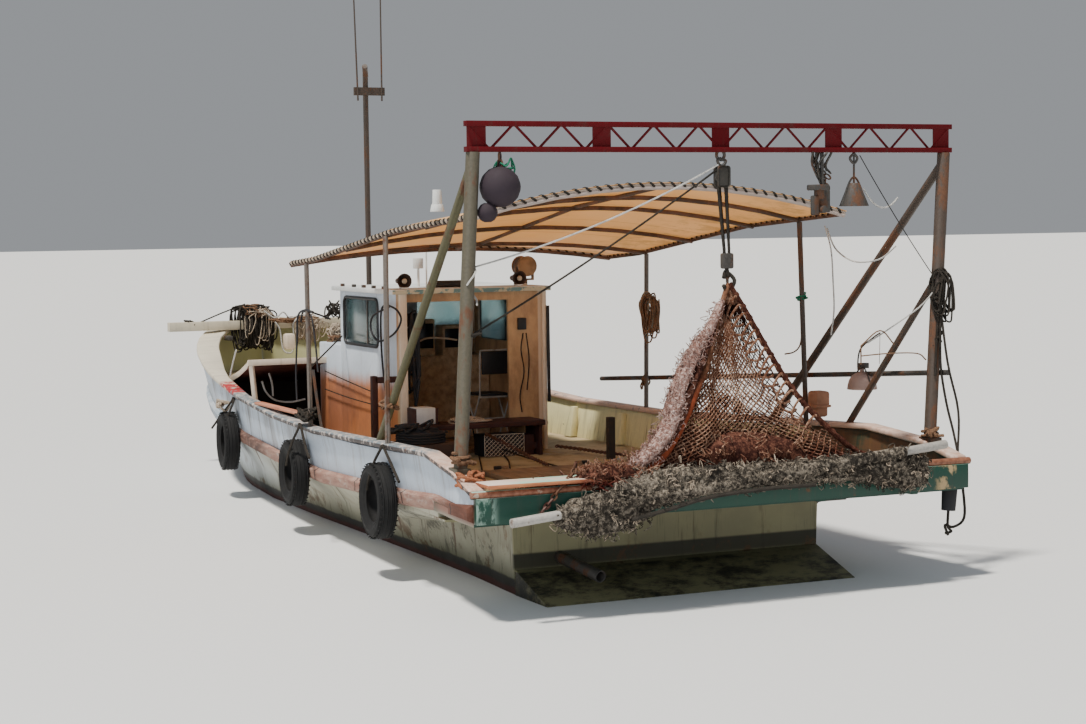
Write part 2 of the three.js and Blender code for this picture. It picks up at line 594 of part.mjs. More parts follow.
// Wheelhouse: one moulding open at its aft side, with its windows cut
function roundedWindow([a0, a1], [z0, z1], radius, plane, from, to) {
  const shape = new THREE.Shape();
  shape.absarc(a1 - radius, z1 - radius, radius, 0, Math.PI / 2);
  shape.absarc(a0 + radius, z1 - radius, radius, Math.PI / 2, Math.PI);
  shape.absarc(a0 + radius, z0 + radius, radius, Math.PI, Math.PI * 1.5);
  shape.absarc(a1 - radius, z0 + radius, radius, Math.PI * 1.5, Math.PI * 2);
  const outline = shape.extractPoints(4).shape.map((p) => [p.x, p.y]);
  return plate(outline, plane, from, to);
}
const sideWindow = { x: [-1440, -575], z: [1465, 1875] };
const frontWindows = [[60, 570], [-570, -60]];
function wheelhouse() {
  const { aft, fore, halfWidth: w, roof, wall } = HOUSE;
  const shell = block([aft, fore], [-w, w], [DECK + SEAT, roof]);
  const inside = block([aft + wall, fore - wall], [-w + wall, w - wall], [0, roof + 100]);
  const doorway = block([aft - 100, aft + 100], [-340, 590], [0, 1860]);
  const windows = [
    roundedWindow(sideWindow.x, sideWindow.z, 60, 'xz', -w - 100, w + 100),
    ...frontWindows.map((y) => roundedWindow(y, [1480, 1840], 50, 'yz', fore - 100, fore + 100)),
  ];
  return cut(shell, inside, doorway, windows);
}
add('wheelhouse_walls', wheelhouse(), finish.white);

const lampPost = (x, y, z, height, radius) => rod([x, y, z - 5], [x, y, z + height], radius, 8);
function roofWithFittings() {
  const top = HOUSE.roof + HOUSE.roofDepth;
  const slab = block([HOUSE.aft - 45, HOUSE.fore + 60], [-724, 724], [HOUSE.roof + SEAT, top]);
  const horn = (y) => {
    const profile = [[0, -90], [22, -90], [28, -40], [62, 60], [66, 75], [56, 75], [20, 0], [0, 0]];
    const bell = new THREE.LatheGeometry(profile.map(([r, h]) => new THREE.Vector2(r, h)), 14);
    return [bell.rotateZ(Math.PI / 2).translate(-1880, y, top + 70), lampPost(-1860, y, top, 60, 14)];
  };
  const drum = rod([-1790, -581, top + 168], [-1650, -581, top + 168], 82, 16);
  const yoke = [-1, 1].map(
    (s) => block([-1735, -1705], [-581 + s * 80 - 8, -581 + s * 80 + 8], [top + 50, top + 180]),
  );
  const anchorLamp = [
    lampPost(-1400, 276, top, 170, 12), rod([-1400, 276, top + 160], [-1400, 276, top + 250], 45, 12),
  ];
  return join(
    slab, horn(615), horn(-434), drum, yoke, lampPost(-1720, -581, top, 55, 30),
    block([-1735, -1705], [-669, -493], [top + 45, top + 60]), anchorLamp,
    lampPost(-1400, 200, top, 420, 8),
  );
}
add('wheelhouse_roof', roofWithFittings(), finish.white);

add(
  'fore_casing',
  block([HOUSE.fore + SEAT, CASING.fore], [-HOUSE.halfWidth, HOUSE.halfWidth], [DECK + SEAT, CASING.top]),
  finish.white,
);
const CONSOLE = { aft: -850, top: 1330, low: DECK + 35 + SEAT };
add('console', join(
  block([CONSOLE.aft, HOUSE.fore - HOUSE.wall - SEAT], [-615, 615], [CONSOLE.low, CONSOLE.top]),
  block([-830, -640], [-420, -170], [CONSOLE.top - 5, CONSOLE.top + 270]),
  block([-800, -700], [-110, 90], [CONSOLE.top - 5, CONSOLE.top + 330]),
  rod([CONSOLE.aft + 5, 290, 1180], [CONSOLE.aft - 45, 290, 1180], 24, 12),
), finish.wood);
const WHEEL = { x: -915, y: 290, z: 1180, radius: 190 };
function helmWheel() {
  const rim = new THREE.TorusGeometry(WHEEL.radius, 13, 6, 20).rotateY(Math.PI / 2).translate(
    WHEEL.x, WHEEL.y, WHEEL.z,
  );
  const hub = rod(
    [WHEEL.x - 20, WHEEL.y, WHEEL.z], [CONSOLE.aft - 45 - SEAT * 2, WHEEL.y, WHEEL.z], 30, 14,
  );
  const spokes = [0, 1, 2, 3, 4, 5].map((i) => {
    const a = (i * Math.PI) / 3;
    const end = [WHEEL.x, WHEEL.y + Math.cos(a) * WHEEL.radius, WHEEL.z + Math.sin(a) * WHEEL.radius];
    return rod([WHEEL.x, WHEEL.y, WHEEL.z], end, 10, 6);
  });
  return join(rim, hub, spokes);
}
add('helm_wheel', helmWheel(), finish.iron);

function helmChair() {
  const [x0, x1, y0, y1] = [-1580, -1240, -530, -200];
  const leg = (x, y) => rod([x, y, CONSOLE.low], [x, y, 1000], 12, 8);
  return join(
    block([x0, x1], [y0, y1], [985, 1030]),
    block([x0 - 5, x0 + 25], [y0, y1], [1150, 1415]),
    [y0 + 20, y1 - 20].map((y) => rod([x0 + 12, y, 1000], [x0 + 12, y, 1200], 12, 8)),
    [[x0 + 20, y0 + 20], [x0 + 20, y1 - 20], [x1 - 20, y0 + 20], [x1 - 20, y1 - 20]].map(
      ([x, y]) => leg(x, y),
    ),
  );
}
add('helm_chair', helmChair(), finish.rust);

const MAST = { x: 605, foot: HOOD.pad + SEAT, top: 3940, bar: 3770 };

// Open hood round the casing. It falls forward from two posts on the caps to a bulkhead.
function foreHood() {
  const { aft, fore, top, slope, thickness, pad } = HOOD;
  const topAt = (x) => top - (x - aft) * slope;
  const roof = loft([[aft, 1410], [250, 1330], [1000, 1180], [fore, 1050]].map(([x, w]) => {
    const [high, low] = [topAt(x), topAt(x) - thickness];
    return [[x, -w, low], [x, w, low], [x, w, high], [x, -w, high]];
  }));
  const bulkhead = plate([
    [-1100, topAt(fore) - 20], [-1050, DECK + SEAT], [1050, DECK + SEAT], [1100, topAt(fore) - 20],
  ], 'yz', fore - 45, fore);
  const posts = [1, -1].map((s) => rod([-25, s * 1340, 925], [-25, s * 1372, top - 30], 26, 4));
  const mastPad = block([MAST.x - 100, MAST.x + 100], [-100, 100], [pad - 60, pad]);
  const casing = block(
    [aft - 10, CASING.fore + SEAT], [-HOUSE.halfWidth - SEAT, HOUSE.halfWidth + SEAT], [1100, 1500],
  );
  return trim(join(roof, bulkhead, posts, mastPad), casing, fatterCap('port'), fatterCap('starboard'));
}
add('fore_hood', foreHood(), finish.capCream);

add('mast', join(
  rod([MAST.x, 0, MAST.foot], [MAST.x, 0, MAST.top], 26, 12),
  rod([MAST.x, 0, MAST.foot], [MAST.x, 0, MAST.foot + 15], 80, 16),
  block([MAST.x - 45, MAST.x - 20], [-178, 128], [MAST.bar - 38, MAST.bar + 38]),
  rod([MAST.x - 10, 0, MAST.top - 30], [MAST.x - 130, 50, MAST.top + 60], 26, 10),
  rod([MAST.x - 50, 95, MAST.bar - 90], [MAST.x - 50, 150, 5900], 9, 8, 5),
  rod([MAST.x - 50, -145, MAST.bar - 90], [MAST.x - 50, -150, 5900], 9, 8, 5),
), finish.rust);

// Lids over the fish hold and the bow store
function lid({ x, deck, at }, [x0, x1], halfWidth, direction) {
  const panel = block([x0, x1], [-halfWidth, halfWidth], [deck + SEAT, deck + 40]);
  const arms = [-1, 1].flatMap((s) => [
    rod(
      [x, s * at - knuckle.half, deck + knuckle.lift], [x, s * at + knuckle.half, deck + knuckle.lift],
      knuckle.radius, 8,
    ),
    block(
      [x, x + direction * 40].sort((a, b) => a - b), [s * at - 20, s * at + 20],
      [deck + 34, deck + knuckle.lift],
    ),
  ]);
  return join(panel, arms);
}
add('fish_hold_lid', lid(HOLD_HINGE, [-4180, -3322], 530, -1), finish.wood);
add('bow_store_lid', lid(STORE_HINGE, [2302, 2900], 330, 1), finish.cream);

// Tyres hung as fenders against the strakes
const TYRE = { radius: 270, width: 150, bore: 150 };
const TYRES = [
  { name: 'aft', x: -4369, z: 560 }, { name: 'middle', x: -1952, z: 500 },
  { name: 'fore', x: 560, z: 525 },
];
function tyre(x, z, side) {
  const { radius: r, width: w, bore: b } = TYRE;
  const profile = [
    [b, -w * 0.3], [r - 60, -w / 2], [r - 18, -w * 0.42], [r, -w * 0.2], [r, w * 0.2], [r - 18, w * 0.42],
    [r - 60, w / 2], [b, w * 0.3], [b + 30, 0], [b, -w * 0.3],
  ].map(([radius, h]) => new THREE.Vector2(radius, h));
  const slope = (sideY(x + 300, z) - sideY(x - 300, z)) / 600;
  const strakeZ = along(STRAKE_LINE, 'z', x);
  const touching = [x - 260, x, x + 260].map((px) => sideY(px, strakeZ) - slope * (px - x));
  const outside = Math.max(...touching) + STRAKE.depth;
  const ring = new THREE.LatheGeometry(profile, 20).rotateZ(Math.atan(slope));
  return ring.translate(x, outside + w / 2 - 8, z).scale(1, side, 1);
}
for (const [board, side] of [['port', 1], ['starboard', -1]]) {
  const backing = [`rub_strake_${board}`, `bulwark_${board}`, 'hull'].map((n) => fatter(geometryOf(n)));
  for (const { name, x, z } of TYRES) {
    add(`tyre_${board}_${name}`, trim(tyre(x, z, side), backing), finish.rubber);
  }
}

// Trawl gear hung at the stern: pole, net roll, hoisted net and its tackle
const POLE = { port: [-6500, 1672, 655], starboard: [-6475, -1600, 965], radius: 30 };
const poleRod = (extra) => rod(POLE.port, POLE.starboard, POLE.radius + extra, 10);
add('trawl_pole', poleRod(0), finish.galvanised);

const ROLL = [
  { t: 0.06, r: 55, sag: 25 }, { t: 0.14, r: 105, sag: 60 }, { t: 0.28, r: 115, sag: 45 },
  { t: 0.45, r: 85, sag: 10 },
  { t: 0.65, r: 80, sag: 5 }, { t: 0.8, r: 90, sag: 10 }, { t: 0.9, r: 110, sag: 50 },
  { t: 0.97, r: 60, sag: 20 },
];
function netRoll() {
  const rings = ROLL.map(({ t, r, sag }) => {
    const [x, y, z] = POLE.port.map((value, i) => lerp(value, POLE.starboard[i], t));
    return steps(0, Math.PI * 2, 12).slice(0, -1).map(
      (a) => [x + Math.cos(a) * r * 0.95, y, z - sag + Math.sin(a) * (r + sag * 0.6)],
    );
  });
  const tools = [
    poleRod(SEAT), geometryOf('stern_rail').clone().translate(-SEAT, 0, 0),
    geometryOf('stern_rail').clone().translate(0, 0, SEAT),
  ];
  return cut(loft(rings), tools, block([-6386 - SEAT, -6000], [-2000, 2000], [0, 2000]));
}
add('net_roll', netRoll(), finish.netGrey);

// Outline of the hoisted net at each height, as x and y in turn
const NET = [
  [900, [
    -6290, 620, -6290, -250, -6290, -1130, -5850, -1050, -5420, -700, -5350, 0, -5450, 560, -5850, 650,
  ]],
  [1200, [
    -6240, 440, -6240, -200, -6240, -850, -5900, -800, -5600, -560, -5560, -60, -5640, 380, -5900, 460,
  ]],
  [1600, [
    -6170, 200, -6170, -160, -6170, -480, -5980, -460, -5830, -330, -5810, -80, -5850, 130, -5980, 200,
  ]],
  [1950, [
    -6090, 20, -6090, -130, -6090, -260, -6010, -260, -5960, -200, -5950, -120, -5960, -30, -6010, 15,
  ]],
  [2120, [
    -6050, -110, -6050, -140, -6050, -170, -6020, -172, -5990, -160, -5985, -140, -5990, -118, -6020, -108,
  ]],
];
const netRing = ([z, flat]) => steps(0, 7, 7).map((i) => [flat[2 * i], flat[2 * i + 1], z]);
add('hoisted_net', loft(NET.map(netRing)), finish.net);

const TACKLE = { y: -117, low: -150, x: -6020 };
add('hoist_tackle', join(
  rod([TACKLE.x, TACKLE.y, GALLOWS.top - SEAT], [TACKLE.x, TACKLE.y, 2850], 14, 8),
  block([TACKLE.x - 28, TACKLE.x + 28], [TACKLE.y - 35, TACKLE.y + 35], [2740, 2870]),
  [-22, 22].map((dy) => rod([TACKLE.x, TACKLE.y + dy, 2750], [TACKLE.x, TACKLE.low + dy, 2250], 9, 8)),
  block([TACKLE.x - 26, TACKLE.x + 26], [TACKLE.low - 36, TACKLE.low + 36], [2195, 2290]),
  rod([TACKLE.x, TACKLE.low, 2200], [TACKLE.x, TACKLE.low + 10, 2122], 12, 8),
), finish.iron);
add('side_tackle', join(
  rod([-6000, -913, GALLOWS.top - SEAT], [-6000, -913, 2700], 14, 8),
  block([-6030, -5970], [-960, -866], [2560, 2710]),
), finish.iron);
add('work_lamp_high', join(
  rod([-6000, -1172, GALLOWS.top - SEAT], [-6000, -1172, 2740], 8, 8),
  rod([-6000, -1172, 2600], [-6000, -1172, 2760], 105, 16, 40),
), finish.iron);
add('work_lamp_low', cut(join(
  rod([-5150, -1790, 1290], [-5150, -1790, 1400], 95, 16, 30),
  rod([-5150, -1790, 1390], [-5150, -1822, 1460], 10, 8),
), sideBar(SEAT)), finish.galvanised);
add('gallows_floats', join(
  new THREE.SphereGeometry(133, 14, 9).translate(-6010, 1500, 2747),
  new THREE.SphereGeometry(66, 10, 7).translate(-6010, 1590, 2585),
  rod([-6010, 1500, 2870], [-6010, 1500, GALLOWS.top - SEAT], 9, 8),
), finish.rubber);

// Gear on the working deck
add('work_bench', join(
  block([-2260, -1930], [-520, 660], [805, 850]),
  block([-2240, -1950], [-500, -470], [DECK + SEAT, 810]),
  block([-2240, -1950], [610, 640], [DECK + SEAT, 810]),
  block([-2180, -1960], [-450, -90], [DECK + SEAT, 722]),
  block([-2180, -1960], [-470, -440], [DECK + 100, 600]),
  block([-2200, -2010], [430, 635], [845, 990]),
), finish.wood);
add('fish_box', block([-2680, -2290], [430, 1010], [DECK + SEAT, 745]), finish.rubber);
const COIL = { x: -2480, y: 700, z: 745 + SEAT, radius: 200, depth: 95 };
const coilProfile = [[110, 0], [COIL.radius, 0], [COIL.radius, COIL.depth], [110, COIL.depth], [110, 0]];
add('deck_hose_coil', new THREE.LatheGeometry(coilProfile.map(([r, h]) => new THREE.Vector2(r, h)), 24)
  .rotateX(Math.PI / 2).translate(COIL.x, COIL.y, COIL.z), finish.rubber);

// Beam across the bow caps, with rope hanks slung over it
const BOW_BEAM = { x: [3400, 3500], y: [-1100, 1220], z: [1408, 1504] };
add(
  'bow_beam', trim(block(BOW_BEAM.x, BOW_BEAM.y, BOW_BEAM.z), fatterCap('port'), fatterCap('starboard')),
  finish.capCream,
);
function hank([x0, x1], [y0, y1], [z0, z1]) {
  const radius = (x1 - x0) / 2;
  const outline = roundedWindow([x0, x1], [z0, z1], radius * 0.95, 'xz', y0, y1);
  const hole = block(
    [BOW_BEAM.x[0] - SEAT * 3, BOW_BEAM.x[1] + SEAT * 3], [y0 - 10, y1 + 10],
    [BOW_BEAM.z[0] - 3, BOW_BEAM.z[1] + SEAT],
  );
  return cut(outline, hole);
}
add('rope_hank_dark', hank([3310, 3590], [100, 420], [1150, 1660]), finish.rope);
add('rope_hank_pale', hank([3350, 3550], [-420, -180], [1190, 1570]), finish.canvas);

// Under water: propeller on its shaft, and the rudder
function propeller() {
  const { z, propX: x, propRadius: r } = SHAFT;
  const shaft = rod([SHAFT.inner - 8, 0, z], [x, 0, z], SHAFT.radius, 12);
  const hub = rod([x + 50, 0, z], [x - 60, 0, z], 45, 14, 28);
  const blades = [0, 1, 2].map((i) => {
    const shape = new THREE.Shape();
    shape.moveTo(-40, 20);
    shape.quadraticCurveTo(-105, r * 0.65, -30, r);
    shape.lineTo(35, r);
    shape.quadraticCurveTo(95, r * 0.6, 40, 20);
    const blade = new THREE.ExtrudeGeometry(shape, { depth: 14, bevelEnabled: false, curveSegments: 5 });
    const pitched = blade.translate(0, 0, -7).rotateX(Math.PI / 2).rotateZ(0.6);
    return pitched.rotateX(Math.PI / 2 + (i * 2 * Math.PI) / 3).translate(x, 0, z);
  });
  return join(shaft, hub, blades);
}
add('propeller', propeller(), finish.bronze);
add('rudder', join(
  plate(
    [
      [RUDDER.fore, RUDDER.bottom], [RUDDER.aft, RUDDER.bottom], [RUDDER.aft, RUDDER.top],
      [RUDDER.fore - 15, RUDDER.top],
    ],
    'xz', -16, 16,
  ),
  rod([RUDDER.x, 0, RUDDER.bottom - 50], [RUDDER.x, 0, RUDDER.bottom + 10], RUDDER.pintle, 16),
  rod([RUDDER.x, 0, RUDDER.bottom + 5], [RUDDER.x, 0, -40], RUDDER.stock, 16),
), finish.bronze);

export default boat;
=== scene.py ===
import bpy
import json
import math
import random
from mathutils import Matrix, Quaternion, Vector

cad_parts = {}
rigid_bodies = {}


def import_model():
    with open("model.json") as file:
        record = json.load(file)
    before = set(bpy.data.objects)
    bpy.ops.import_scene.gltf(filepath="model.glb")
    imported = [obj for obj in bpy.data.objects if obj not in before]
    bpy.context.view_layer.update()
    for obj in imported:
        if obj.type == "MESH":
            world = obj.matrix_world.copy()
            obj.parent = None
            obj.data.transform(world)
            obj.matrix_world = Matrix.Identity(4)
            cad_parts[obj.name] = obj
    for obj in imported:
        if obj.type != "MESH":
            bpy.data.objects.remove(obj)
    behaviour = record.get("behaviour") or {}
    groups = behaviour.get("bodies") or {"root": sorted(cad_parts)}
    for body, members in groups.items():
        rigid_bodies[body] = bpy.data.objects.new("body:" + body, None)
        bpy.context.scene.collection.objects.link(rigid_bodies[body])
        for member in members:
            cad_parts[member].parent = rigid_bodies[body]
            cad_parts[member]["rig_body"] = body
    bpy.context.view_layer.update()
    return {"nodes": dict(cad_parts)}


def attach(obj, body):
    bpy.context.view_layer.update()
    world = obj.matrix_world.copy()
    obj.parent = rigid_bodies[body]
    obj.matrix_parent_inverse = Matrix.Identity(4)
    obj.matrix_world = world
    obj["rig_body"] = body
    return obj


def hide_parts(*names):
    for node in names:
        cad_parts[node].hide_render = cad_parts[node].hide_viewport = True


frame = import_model()
nodes = frame["nodes"]
dice = random.Random(11)
print("frame loaded,", len(nodes), "nodes")

# Camera, floor and light
view = {"place": (-18.4154, 6.8964, 2.5336), "yaw": -24.607, "pitch": -3.849, "roll": -0.762, "lens": 70.0}
studio = {
    "floorSize": 400, "floorColour": (0.74, 0.75, 0.76), "worldColour": (0.86, 0.9, 0.95),
    "worldStrength": 0.36,
    "sunStrength": 5.0, "sunAngle": 6, "sunFrom": (-0.12, 0.34, 1.0), "sunColour": (1.0, 0.95, 0.86),
    "fillPlace": (-16, 12, 7), "fillAim": (-2, 0, 1), "fillPower": 700, "fillSize": 9,
    "fillColour": (0.86, 0.92, 1.0),
}


def setStudio():
    yaw, pitch = math.radians(view["yaw"]), math.radians(view["pitch"])
    look = Vector((math.cos(pitch) * math.cos(yaw), math.cos(pitch) * math.sin(yaw), math.sin(pitch)))
    bpy.ops.object.camera_add(location=view["place"])
    camera = bpy.context.object
    camera.rotation_mode = "QUATERNION"
    camera.rotation_quaternion = look.to_track_quat("-Z", "Y") @ Quaternion((0, 0, 1),
            math.radians(view["roll"]))
    camera.data.lens = view["lens"]
    camera.data.sensor_width = 36
    camera.data.clip_end = 500
    bpy.context.scene.camera = camera
    bpy.ops.object.light_add(type="SUN", location=(0, 0, 12))
    sun = bpy.context.object
    sun.data.energy = studio["sunStrength"]
    sun.data.angle = math.radians(studio["sunAngle"])
    sun.data.color = studio["sunColour"]
    sun.rotation_euler = Vector(studio["sunFrom"]).to_track_quat("Z", "Y").to_euler()
    bpy.ops.object.light_add(type="AREA", location=studio["fillPlace"])
    fill = bpy.context.object
    fill.data.energy = studio["fillPower"]
    fill.data.size = studio["fillSize"]
    fill.data.color = studio["fillColour"]
    away = Vector(studio["fillPlace"]) - Vector(studio["fillAim"])
    fill.rotation_euler = away.to_track_quat("Z", "Y").to_euler()
    world = bpy.data.worlds.new("studioSky")
    world.use_nodes = True
    world.node_tree.nodes["Background"].inputs[0].default_value = (*studio["worldColour"], 1)
    world.node_tree.nodes["Background"].inputs[1].default_value = studio["worldStrength"]
    bpy.context.scene.world = world


# Shader maths: a Wire is one socket, and operators on it add Math nodes
class Wire:
    def __init__(self, finish, socket):
        self.finish = finish
        self.socket = socket

    def calc(self, operation, first, second=0.0):
        return self.finish.node("ShaderNodeMath", {"operation": operation}, {0: first, 1: second})

    def __add__(self, other):
        return self.calc("ADD", self, other)

    def __radd__(self, other):
        return self.calc("ADD", other, self)

    def __sub__(self, other):
        return self.calc("SUBTRACT", self, other)

    def __rsub__(self, other):
        return self.calc("SUBTRACT", other, self)

    def __mul__(self, other):
        return self.calc("MULTIPLY", self, other)

    def __rmul__(self, other):
        return self.calc("MULTIPLY", other, self)

    def size(self):
        return self.calc("ABSOLUTE", self)

    def most(self, other):
        return self.calc("MAXIMUM", self, other)

    def least(self, other):
        return self.calc("MINIMUM", self, other)

    def over(self, low, high):  # 0 below low, 1 above high, turned round where low is above high
        return self.finish.node("ShaderNodeMapRange", {"interpolation_type": "SMOOTHSTEP"},
                                {0: self, 1: low, 2: high})


class Finish:
    def __init__(self, name, roughness=0.6, metallic=0.0, specular=0.4):
        self.material = bpy.data.materials.new(name)
        self.material.use_nodes = True
        self.tree = self.material.node_tree
        self.shader = self.tree.nodes["Principled BSDF"]
        self.shader.inputs["Roughness"].default_value = roughness
        self.shader.inputs["Metallic"].default_value = metallic
        self.shader.inputs["Specular IOR Level"].default_value = specular
        self.spot = self.node("ShaderNodeTexCoord", out="Object")

    def node(self, kind, settings=None, sockets=None, out=0):
        made = self.tree.nodes.new(kind)
        for key, value in (settings or {}).items():
            if key == "stops":
                self.setStops(made.color_ramp, value)
            else:
                setattr(made, key, value)
        for key, value in (sockets or {}).items():
            if isinstance(value, Wire):
                self.tree.links.new(value.socket, made.inputs[key])
            elif made.inputs[key].type == "RGBA":
                made.inputs[key].default_value = (*value[:3], 1)
            else:
                made.inputs[key].default_value = value
        return Wire(self, made.outputs[out])

    def setStops(self, ramp, stops):
        while len(ramp.elements) > 1:
            ramp.elements.remove(ramp.elements[-1])
        for i, (place, colour) in enumerate(stops):
            stop = ramp.elements[0] if i == 0 else ramp.elements.new(place)
            stop.position = place
            stop.color = (*colour, 1)

    def noise(self, scale, detail=4, stretch=(1, 1, 1), shift=0.0, roughness=0.6):
        place = self.node("ShaderNodeMapping", {}, {
            "Vector": self.spot, "Scale": stretch, "Location": (shift, shift * 0.7, shift * 0.3),
        })
        return self.node("ShaderNodeTexNoise", {}, {
            "Vector": place, "Scale": scale, "Detail": detail, "Roughness": roughness,
        })

    def wave(self, scale, distortion, direction):
        return self.node("ShaderNodeTexWave", {"bands_direction": direction}, {
            "Vector": self.spot, "Scale": scale, "Distortion": distortion, "Detail": 3,
        }, out=1)

    def runs(self, scale, shift=0.0, long=0.08, roughness=0.72):  # streaks straight down any upright face
        along = self.noise(scale, 5, (1, 0.03, long), shift, roughness)
        across = self.noise(scale, 5, (0.03, 1, long), shift, roughness)
        return along + (across - along) * self.facing()[0].size().over(0.55, 0.75)

    def axes(self):
        parts = self.node("ShaderNodeSeparateXYZ", {}, {0: self.spot}).socket.node
        return [Wire(self, parts.outputs[i]) for i in range(3)]

    def facing(self):
        normal = self.node("ShaderNodeTexCoord", out="Normal")
        parts = self.node("ShaderNodeSeparateXYZ", {}, {0: normal}).socket.node
        return [Wire(self, parts.outputs[i]) for i in range(3)]

    def mix(self, factor, first, second):
        return self.node("ShaderNodeMix", {"data_type": "RGBA"}, {0: factor, 6: first, 7: second}, 2)

    def use(self, colour, rough, height=None, strength=0.3, distance=0.01):
        self.tree.links.new(colour.socket, self.shader.inputs["Base Color"])
        if isinstance(rough, Wire):
            self.tree.links.new(rough.socket, self.shader.inputs["Roughness"])
        else:
            self.shader.inputs["Roughness"].default_value = rough
        if height is not None:
            bump = self.node("ShaderNodeBump", {},
                             {"Strength": strength, "Distance": distance, "Height": height})
            self.tree.links.new(bump.socket, self.shader.inputs["Normal"])
        return self


grime = (0.045, 0.04, 0.032)
rustDark = (0.11, 0.045, 0.02)
rustBright = (0.24, 0.085, 0.028)


# Layers that every old painted piece here shares: mottling, runs of dirt and rust breaking through
def oldPaint(finish, base, runs=0.5, rust=0.3, dirt=0.4, seed=0.0, fine=1.0):
    mottle = finish.noise(2.3 * fine, 6, shift=seed)
    grain = finish.noise(34 * fine, 4, shift=seed + 3)
    streaks = finish.runs(9 * fine, seed + 5)
    patches = finish.noise(3.4 * fine, 8, shift=seed + 9, roughness=0.72)
    colour = finish.mix((mottle * 0.9).over(0.25, 0.65) * 0.55, base, [c * 0.72 for c in base])
    colour = finish.mix(grain.over(0.35, 0.75) * 0.18, colour, [min(1, c * 1.25) for c in base])
    colour = finish.mix(streaks.over(0.5, 0.72) * runs, colour, grime)
    colour = finish.mix(patches.over(0.62 - 0.2 * dirt, 0.78) * dirt, colour, grime)
    rusty = (patches * 0.6 + streaks * 0.4).over(0.66 - 0.16 * rust, 0.7 - 0.1 * rust)
    rustColour = finish.mix(grain, rustDark, rustBright)
    colour = finish.mix(rusty * min(1, rust * 1.6), colour, rustColour)
    return colour, rusty, grain, patches


def paintedFinish(name, base, runs=0.5, rust=0.3, dirt=0.4, rough=0.55, seed=0.0, fine=1.0, bump=0.25,
                  shine=0.4):
    finish = Finish(name, rough, 0.0, shine)
    colour, rusty, grain, _ = oldPaint(finish, base, runs, rust, dirt, seed, fine)
    return finish.use(colour, rough + rusty * (0.9 - rough), grain * 0.4 + rusty * 0.6, bump,
                      0.004).material


# Hull paint: bands by height and the strake's line, the deck by its facing, the transom by its place; the
# white upper and bow paint is tinted blue-grey as painted sky shade
hullPaint = {
    "upper": (0.5, 0.56, 0.62), "lower": (0.4, 0.39, 0.3), "bow": (0.5, 0.56, 0.6),
    "boot": (0.025, 0.024, 0.02),
    "foul": (0.07, 0.02, 0.014), "deck": (0.46, 0.37, 0.22), "transom": (0.3, 0.28, 0.16), "bootTop": 0.12,
    "strake": (0.515, 0.011, 0.0004), "iron": (0.03, 0.024, 0.02),
}


